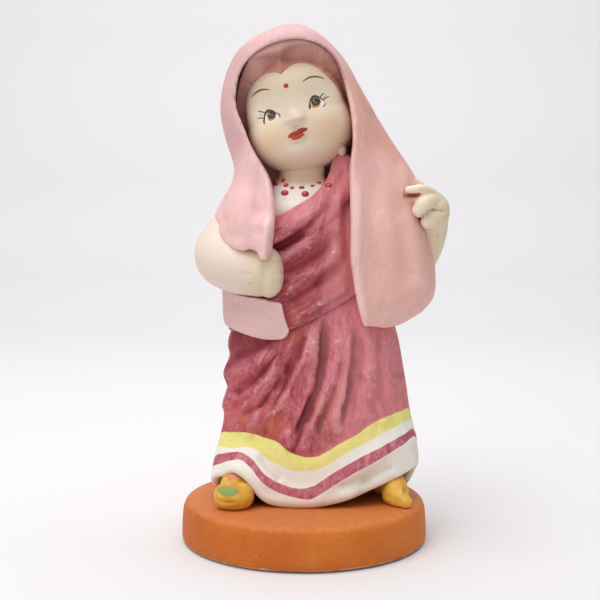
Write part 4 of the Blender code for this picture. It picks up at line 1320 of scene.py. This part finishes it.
# %% Sculpt the veil
FRONT_OPENING = [
    (-3.8, 58), (-3.9, 66), (-4.4, 69.6), (-5.6, 73.0), (-6.6, 77.0), (-7.6, 83), (-9.2, 90),
    (-9.9, 95.4),
    (-9.5, 100), (-9.0, 105.3), (-9.1, 110.2), (-10.4, 116.0), (-12.6, 120.5), (-15.8, 126.0),
    (-19.0, 133.6), (-21.0, 138.6), (-21.4, 144.0), (-19.7, 150.8), (-15.7, 155.8),
    (-9.4, 159.2), (-2.6, 160.3), (4.3, 158.8), (9.4, 154.3), (12.8, 146.4), (14.8, 137.4),
    (15.2, 129.4), (14.4, 120.9), (14.6, 112.3), (14.8, 102.8), (14.6, 93.0), (15.1, 88.0),
    (16.4, 79.9), (17.8, 74.0), (18.6, 70), (19.0, 64), (19.2, 58),
]
ARM_WINDOW = [
    (-46, 108), (-28.6, 104.2), (-26.9, 101.6), (-25.4, 98.3), (-22.6, 96.2), (-18.9, 95.2),
    (-16.4, 96.0), (-15.3, 95.3), (-14.6, 96.3), (-14.2, 95.0), (-13.9, 93.4), (-12.7, 92.7),
    (-11.2, 93.0), (-9.8, 95.0), (-4, 96),
    (-4, 80.2), (-14, 80.2), (-22, 81.6), (-26, 84), (-46, 86),
]
VEIL_FOOT = [(-34, 71.0), (-24.6, 70.2), (-20.3, 69.0), (-13.4, 67.6), (-7.6, 67.5),
             (-5.4, 68.5), (-3.8, 70.0),
             (8, 70), (19.4, 71.4), (25.1, 70.8), (30.2, 71.2), (36, 71.5), (50, 72)]


VEIL_LOW, VEIL_TOP = 60, 166.15


def veil_place(turn, rise):
    height = VEIL_LOW + rise * (VEIL_SECTIONS[-1][0] - VEIL_LOW)
    return on_sections(VEIL_SECTIONS, turn, np.minimum(height, VEIL_TOP), 0.0, 2.3)


veil_mass = rolled("veil_mass", 220, 200, veil_place)
opening = prism("front_opening", [tuple(p) for p in smooth_rows(FRONT_OPENING, 200)], -60, 1.0)
window = prism("arm_window", [tuple(p) for p in smooth_rows(ARM_WINDOW, 90)], -60, 0.5)
foot_curve = [tuple(p) for p in smooth_rows(VEIL_FOOT, 60)]
foot = prism("veil_foot", [(-60, 40)] + [(-60, 71)] + foot_curve + [(60, 72), (60, 40)], -60, 60)
veil = fused("veil", [veil_mass], voxel=0.55, smooth=13, carve=[opening, window, foot])
strokes(veil, [
    ("push", 3.6, 6.4, [(-18, 130), (-20.0, 116), (-20.4, 104), (-19.6, 94), (-19.0, 84)]),
    ("push", 1.5, 1.9, [(-11.6, 124), (-10.9, 112), (-11.1, 103), (-11.9, 97), (-12.6, 86)]),
    ("push", 3.4, 3.6, [(-11.4, 108), (-11.8, 101), (-12.4, 95), (-12.6, 88), (-12.6, 80)]),
    ("push", 3.0, 4.6, [(28, 128), (32.6, 113), (34.6, 104), (36.4, 95), (37.8, 86), (37.6, 76)]),
    ("crease", 1.2, 0.9, [(30.4, 112.4), (33.2, 112.0), (35.8, 112.2)]),
    ("ridge", 2.4, 1.8, [(36.6, 118), (37.0, 113), (37.4, 110), (37.8, 106)]),
])
strokes(veil, [
    ("ridge", 0.45, 2.0, [(-13.6, 117), (-17.8, 125.6), (-21.6, 133.4), (-23.9, 141),
                          (-22.2, 151.6),
                         (-17.3, 158), (-10, 161.8), (-2.4, 163.0), (5.6, 161.4), (11.8, 156.2),
                         (15.4, 147.6), (17.4, 138), (17.7, 129), (17, 119)]),
    ("ridge", 0.6, 1.4, [(17.0, 120), (16.8, 104), (16.8, 90), (18.6, 78), (20.6, 73)]),
    ("crease", 0.5, 1.6, [(-14.2, 119), (-14.2, 110), (-14.2, 103), (-14.4, 98.6)]),
    ("crease", 0.6, 1.6, [(-25.6, 113), (-26.6, 108), (-25.0, 102.6)]),
    ("ridge", 0.7, 1.6, [(-27.2, 102.6), (-24.8, 98.6), (-21, 97.2), (-17, 97.6)]),
    ("crease", 0.7, 3.0, [(21.6, 121), (21.4, 108), (22.4, 96), (24.4, 84)]),
    ("ridge", 0.8, 3.6, [(24.6, 130), (26.0, 114), (26.6, 100), (28.8, 84)]),
    ("crease", 0.6, 3.0, [(29.6, 112), (31.6, 98), (34.6, 84)]),
    ("ridge", 0.6, 1.6, [(20.6, 73.4), (27, 73.0), (33.4, 75), (38.6, 78)]),
    ("crease", 0.6, 1.8, [(22, 77.2), (28, 77), (35, 80)]),
    ("crease", 0.5, 2.0, [(-24, 79), (-16, 77), (-8, 77.6)]),
    ("ridge", 0.5, 1.5, [(-24.2, 72), (-17, 70), (-8, 69.6)]),
    ("crease", 0.6, 1.6, [(20.6, 140), (25.6, 129.6), (31.6, 119.6)]),
])
strokes(veil, [
    ("crease", 1.0, 3.2, [(x, 152), (x + lean * 0.4, 120), (x + lean, 76)])
    for x, lean in ((-16, -5), (-6, -2), (5, 5), (15, 13))
], facing=BACK)
strokes(veil, [
    ("ridge", 1.0, 3.8, [(x, 156), (x + lean * 0.4, 120), (x + lean, 74)])
    for x, lean in ((-11, -3.5), (-1, 1.5), (9.5, 9))
], facing=BACK)
ripple(veil, 0.14, 16, PAINT_SEED + 4)
relief(veil)
points = points_of(veil)
around = abs(np.arctan2(points[:, 0] - 1, points[:, 1])) * 24
grain(veil, around + 0.3 * points[:, 0] + 0.12 * points[:, 2], points[:, 2])
distance, side, _ = near_path(points[:, [0, 2]], np.array(FRONT_OPENING, float))
beyond = distance * np.where(side > 0, 1, -1)
store(veil, "inside", smooth_step(1.2, 0.4, beyond) * smooth_step(3.0, 2.0, points[:, 1]))


# %% Pink paint of the veil
def veil_paint():
    paint = Paint("veil_pink_wash", roughness=0.6, specular=0.3)
    x, y, z = paint.place_mm()
    fine, broad = paint.stored("relief_fine"), paint.stored("relief_broad")
    flow = paint.stored("grain", "Vector")
    wide = paint.noise(paint.mapped(flow, scale=(0.16, 0.035, 1)), 1.0, 3, 0.6, 0.8)
    streak = paint.noise(paint.mapped(flow, scale=(1.3, 0.12, 1)), 1.0, 4, 0.6, 0.4)
    patch = paint.noise(paint.place, 48, 3)
    paint.start(wide.step(0.32, 0.68), (0.83, 0.52, 0.545), (0.84, 0.52, 0.475))
    salmon = x.step(4, 24) * z.step(152, 120)
    paint.lay(salmon * 0.8, (0.80, 0.47, 0.385))
    # painted shade: browner inside the hood beside her left cheek
    brownish = x.step(6, 14) * z.step(112, 130) * z.step(157, 147)
    paint.lay(brownish * 0.75, (0.67, 0.335, 0.26))
    # painted shade: the crown of the hood is painted darker
    crown = z.step(148, 159)
    paint.lay(crown * 0.55, (0.63, 0.375, 0.37))
    paint.lay(streak.step(0.5, 0.75) * 0.45, (0.90, 0.66, 0.63))
    paint.lay(streak.step(0.45, 0.28) * 0.35, (0.72, 0.385, 0.35))
    paint.lay(patch.step(0.52, 0.75) * 0.40, (0.72, 0.43, 0.455))
    # painted shade: the side of the hood on her right and the tail under her right arm are painted
    # darker
    hood_side = x.step(-14, -21) * z.step(120, 128)
    tail = x.step(6, -2) * z.step(88, 80) * y.step(6, -6)
    paint.lay(hood_side * 0.60, (0.60, 0.36, 0.345))
    paint.lay(tail * 0.55, (0.64, 0.42, 0.40))
    # painted shade: the hollows and fine creases of the veil are darkened
    paint.lay((broad * -1).step(0.18, 1.0) * 0.35, (0.60, 0.28, 0.27))
    paint.lay((fine * -1).step(0.05, 0.3) * 0.5, (0.40, 0.12, 0.11))
    # painted highlight: the crests of the veil are painted paler
    paint.lay((broad + (streak - 0.5) * 0.5).step(0.15, 0.8) * 0.45, (0.92, 0.72, 0.68))

    def shade(cx, cz, wide_mm, tall_mm):
        across, up = (x - cx) / wide_mm, (z - cz) / tall_mm
        return (across * across + up * up).step(1.3, 0.4) * y.step(-4, -6)

    slit = shade(34.8, 112.4, 3.4, 0.9).most(shade(36.3, 105.6, 0.9, 1.5))
    paint.lay(slit * 0.9, (0.33, 0.07, 0.065))
    # painted shade: the veil's inner side, inside the front opening by the face and neck, is
    # darkened to deep red
    inner = y.step(-11.0, -7.5) * paint.stored("inside")
    paint.lay(inner * z.step(104, 110) * 0.85, (0.30, 0.07, 0.065))
    specks = paint.noise(paint.place, 1150, 1)
    paint.lay(specks.step(0.735, 0.775) * 0.6, (0.42, 0.20, 0.17))
    height = streak * 0.4 + wide * 0.5 + patch * 0.3 + specks * 0.1
    return paint.finish(patch * 0.2 + 0.48, height, 0.20)


finished(
    veil, veil_paint(), "veil_pink",
    "veil_hood", "veil_back", "veil_panel_right", "veil_tail_right", "veil_panel_left",
)

# %% [markdown]
# ## Shoes
# Two blunt slippers push out from under the hem. They are ochre, and a few loose marks stand for
# embroidery: a green oval on the toe and a pinkish red band over the instep.

# %% Sculpt and paint the shoes
def shoe_paint(name, toe, band):
    """toe and band are painted ovals: centre (x, z) and half sizes, in mm."""
    paint = Paint(name, roughness=0.5, specular=0.4)
    x, y, z = paint.place_mm()
    patch = paint.noise(paint.place, 240, 3)
    streak = paint.noise(paint.mapped(paint.place, scale=(500, 160, 160)), 1.0, 3)
    fine, broad = paint.stored("relief_fine"), paint.stored("relief_broad")
    paint.start(patch.step(0.35, 0.65), (0.66, 0.315, 0.026), (0.80, 0.48, 0.070))
    paint.lay(streak.step(0.55, 0.75) * 0.4, (0.86, 0.66, 0.24))

    def oval(mark):
        across, up = (x - mark[0]) / mark[2], (z - mark[1]) / mark[3]
        return (across * across + up * up + (patch - 0.5) * 0.8).step(1.2, 0.8)

    paint.lay(oval(toe) * y.step(-11, -13) * 0.9, (0.235, 0.33, 0.10))
    paint.lay(oval(band) * streak.step(0.38, 0.52) * 0.8, (0.66, 0.24, 0.16))
    # painted shade: the hollows and fine creases of the slipper are darkened
    paint.lay((broad * -1).step(0.05, 0.5) * 0.5, (0.50, 0.19, 0.02))
    paint.lay((fine * -1).step(0.03, 0.2) * 0.6, (0.40, 0.14, 0.02))
    specks = paint.noise(paint.place, 1100, 1)
    paint.lay(specks.step(0.74, 0.78) * 0.6, (0.3, 0.15, 0.05))
    return paint.finish(patch * 0.25 + 0.38, patch + streak * 0.5, 0.12)


SHOE_FLOOR = 13.75


def make_shoe(name, lumps, creases):
    shoe = fused(name, lumps, voxel=0.34, smooth=6)
    points = points_of(shoe)
    points[:, 2] = np.maximum(points[:, 2], SHOE_FLOOR)
    set_points(shoe, points)
    strokes(shoe, creases)
    return relief(shoe)


shoe_right = make_shoe("slipper_right", [
    limb("heel_right", [(-20.6, -1, 17.8, 5.2), (-21.8, -8, 19.4, 5.0),
                        (-22.2, -12, 18.6, 4.8)], 64, 60),
    limb("toe_right", [(-24.2, -15.8, 17.6, 4.4), (-22.0, -16.4, 17.7, 4.6),
                       (-20.2, -15.6, 17.6, 4.4)], 56, 50),
], [
    ("crease", 0.5, 0.5, [(-28.2, 17.4), (-25.4, 16.6), (-21.0, 16.8)]),
    ("crease", 0.5, 0.7, [(-27.0, 22.0), (-23.0, 22.4), (-18.4, 21.8)]),
])
shoe_left = make_shoe("slipper_left", [
    limb("heel_left", [(26.4, 0, 18.8, 4.8), (28.0, -5.5, 19.6, 4.4),
                       (29.4, -10.5, 17.8, 4.2)], 64, 60),
    limb("toe_left", [(28.6, -10.0, 16.8, 3.8), (30.6, -13.2, 16.2, 3.3),
                      (32.0, -14.8, 15.5, 2.3)], 48, 50),
], [
    ("crease", 0.25, 0.8, [(25.5, 17.0), (28.5, 16.2), (31.5, 15.4)]),
    ("crease", 0.6, 0.8, [(34.4, 20.0), (32.4, 19.0), (31.0, 18.8)]),
])
for shoe, side, toe, band in (
    (shoe_right, "right", (-23.8, 20.0, 3.3, 1.35), (-22.4, 23.2, 3.6, 0.8)),
    (shoe_left, "left", (33.9, 18.2, 1.0, 1.3), (30.4, 22.6, 2.6, 0.5)),
):
    ochre = shoe_paint(f"slipper_ochre_{side}", toe, band)
    finished(shoe, ochre, "shoe_yellow", f"shoe_{side}")

# %% [markdown]
# ## Raised drops
# The necklace and the bindi are thick drops of red enamel, the only glossy things on the piece.
# Each drop of the necklace is a low dome whose centre sits on the chest, found with a ray.

# %% Enamel drops
def enamel():
    paint = Paint("red_enamel", roughness=0.14, specular=0.6)
    pool = paint.noise(paint.place, 900, 2)
    paint.start(pool, (0.36, 0.004, 0.012), (0.62, 0.016, 0.030))
    paint.shader.inputs["Coat Weight"].default_value = 0.8
    paint.shader.inputs["Coat Roughness"].default_value = 0.05
    return paint.finish(pool * 0.1 + 0.10)


def brow_paint():
    paint = Paint("brow_red", roughness=0.45, specular=0.4)
    pool = paint.noise(paint.place, 900, 2)
    paint.start(pool, (0.30, 0.010, 0.012), (0.42, 0.022, 0.022))
    return paint.finish(pool * 0.2 + 0.35)


def on_surface(target, x, z):
    """Where a ray from the front meets the piece at (x, z), in mm, and its normal."""
    graph = bpy.context.evaluated_depsgraph_get()
    tree = BVHTree.FromObject(target, graph)
    place, normal, _, _ = tree.ray_cast(Vector((x * MM, -0.06, z * MM)), Vector((0, 1, 0)))
    return place / MM, normal


DROPS = [
    (-8.3, 118.0, 0.62, 0.62), (-6.6, 116.9, 0.85, 0.75), (-8.9, 115.7, 1.35, 0.75),
    (-5.7, 115.3, 0.85, 0.75),
    (-3.8, 114.5, 0.75, 0.5), (-6.1, 112.9, 1.25, 0.95), (-0.8, 114.6, 0.95, 0.5),
    (0.3, 112.6, 1.2, 1.0),
    (2.6, 115.1, 0.65, 0.45), (4.7, 116.1, 0.75, 0.45), (6.5, 117.8, 0.85, 0.6),
    (7.6, 115.3, 1.1, 0.8),
]
DROP_DOME = 0.62
drops = []
for number, (x, z, wide, tall) in enumerate(DROPS, start=1):
    target = torso if number == len(DROPS) else bust
    place, normal = on_surface(target, x, z)
    turn = normal.to_track_quat("-Y", "Z").to_matrix().to_4x4()
    radii = (wide, DROP_DOME * max(wide, tall), tall)
    drops.append(ball(f"drop_{number:02d}", place, radii, turn, 28, 18))
necklace = gathered("necklace_drops", drops)
red_enamel = enamel()
finished(necklace, red_enamel, "bead_red", *[f"necklace_drop_{n:02d}" for n in range(1, 13)])

brow = HEAD_SPACE @ Vector((-0.2, -14.0, 9.1))
brow_place, brow_normal = on_surface(head, brow.x, brow.z)
turn = brow_normal.to_track_quat("-Y", "Z").to_matrix().to_4x4()
bindi = ball("brow_dot", brow_place, (0.78, 0.22, 0.78), turn, 28, 18)
finished(bindi, brow_paint(), "bead_red", "bindi")
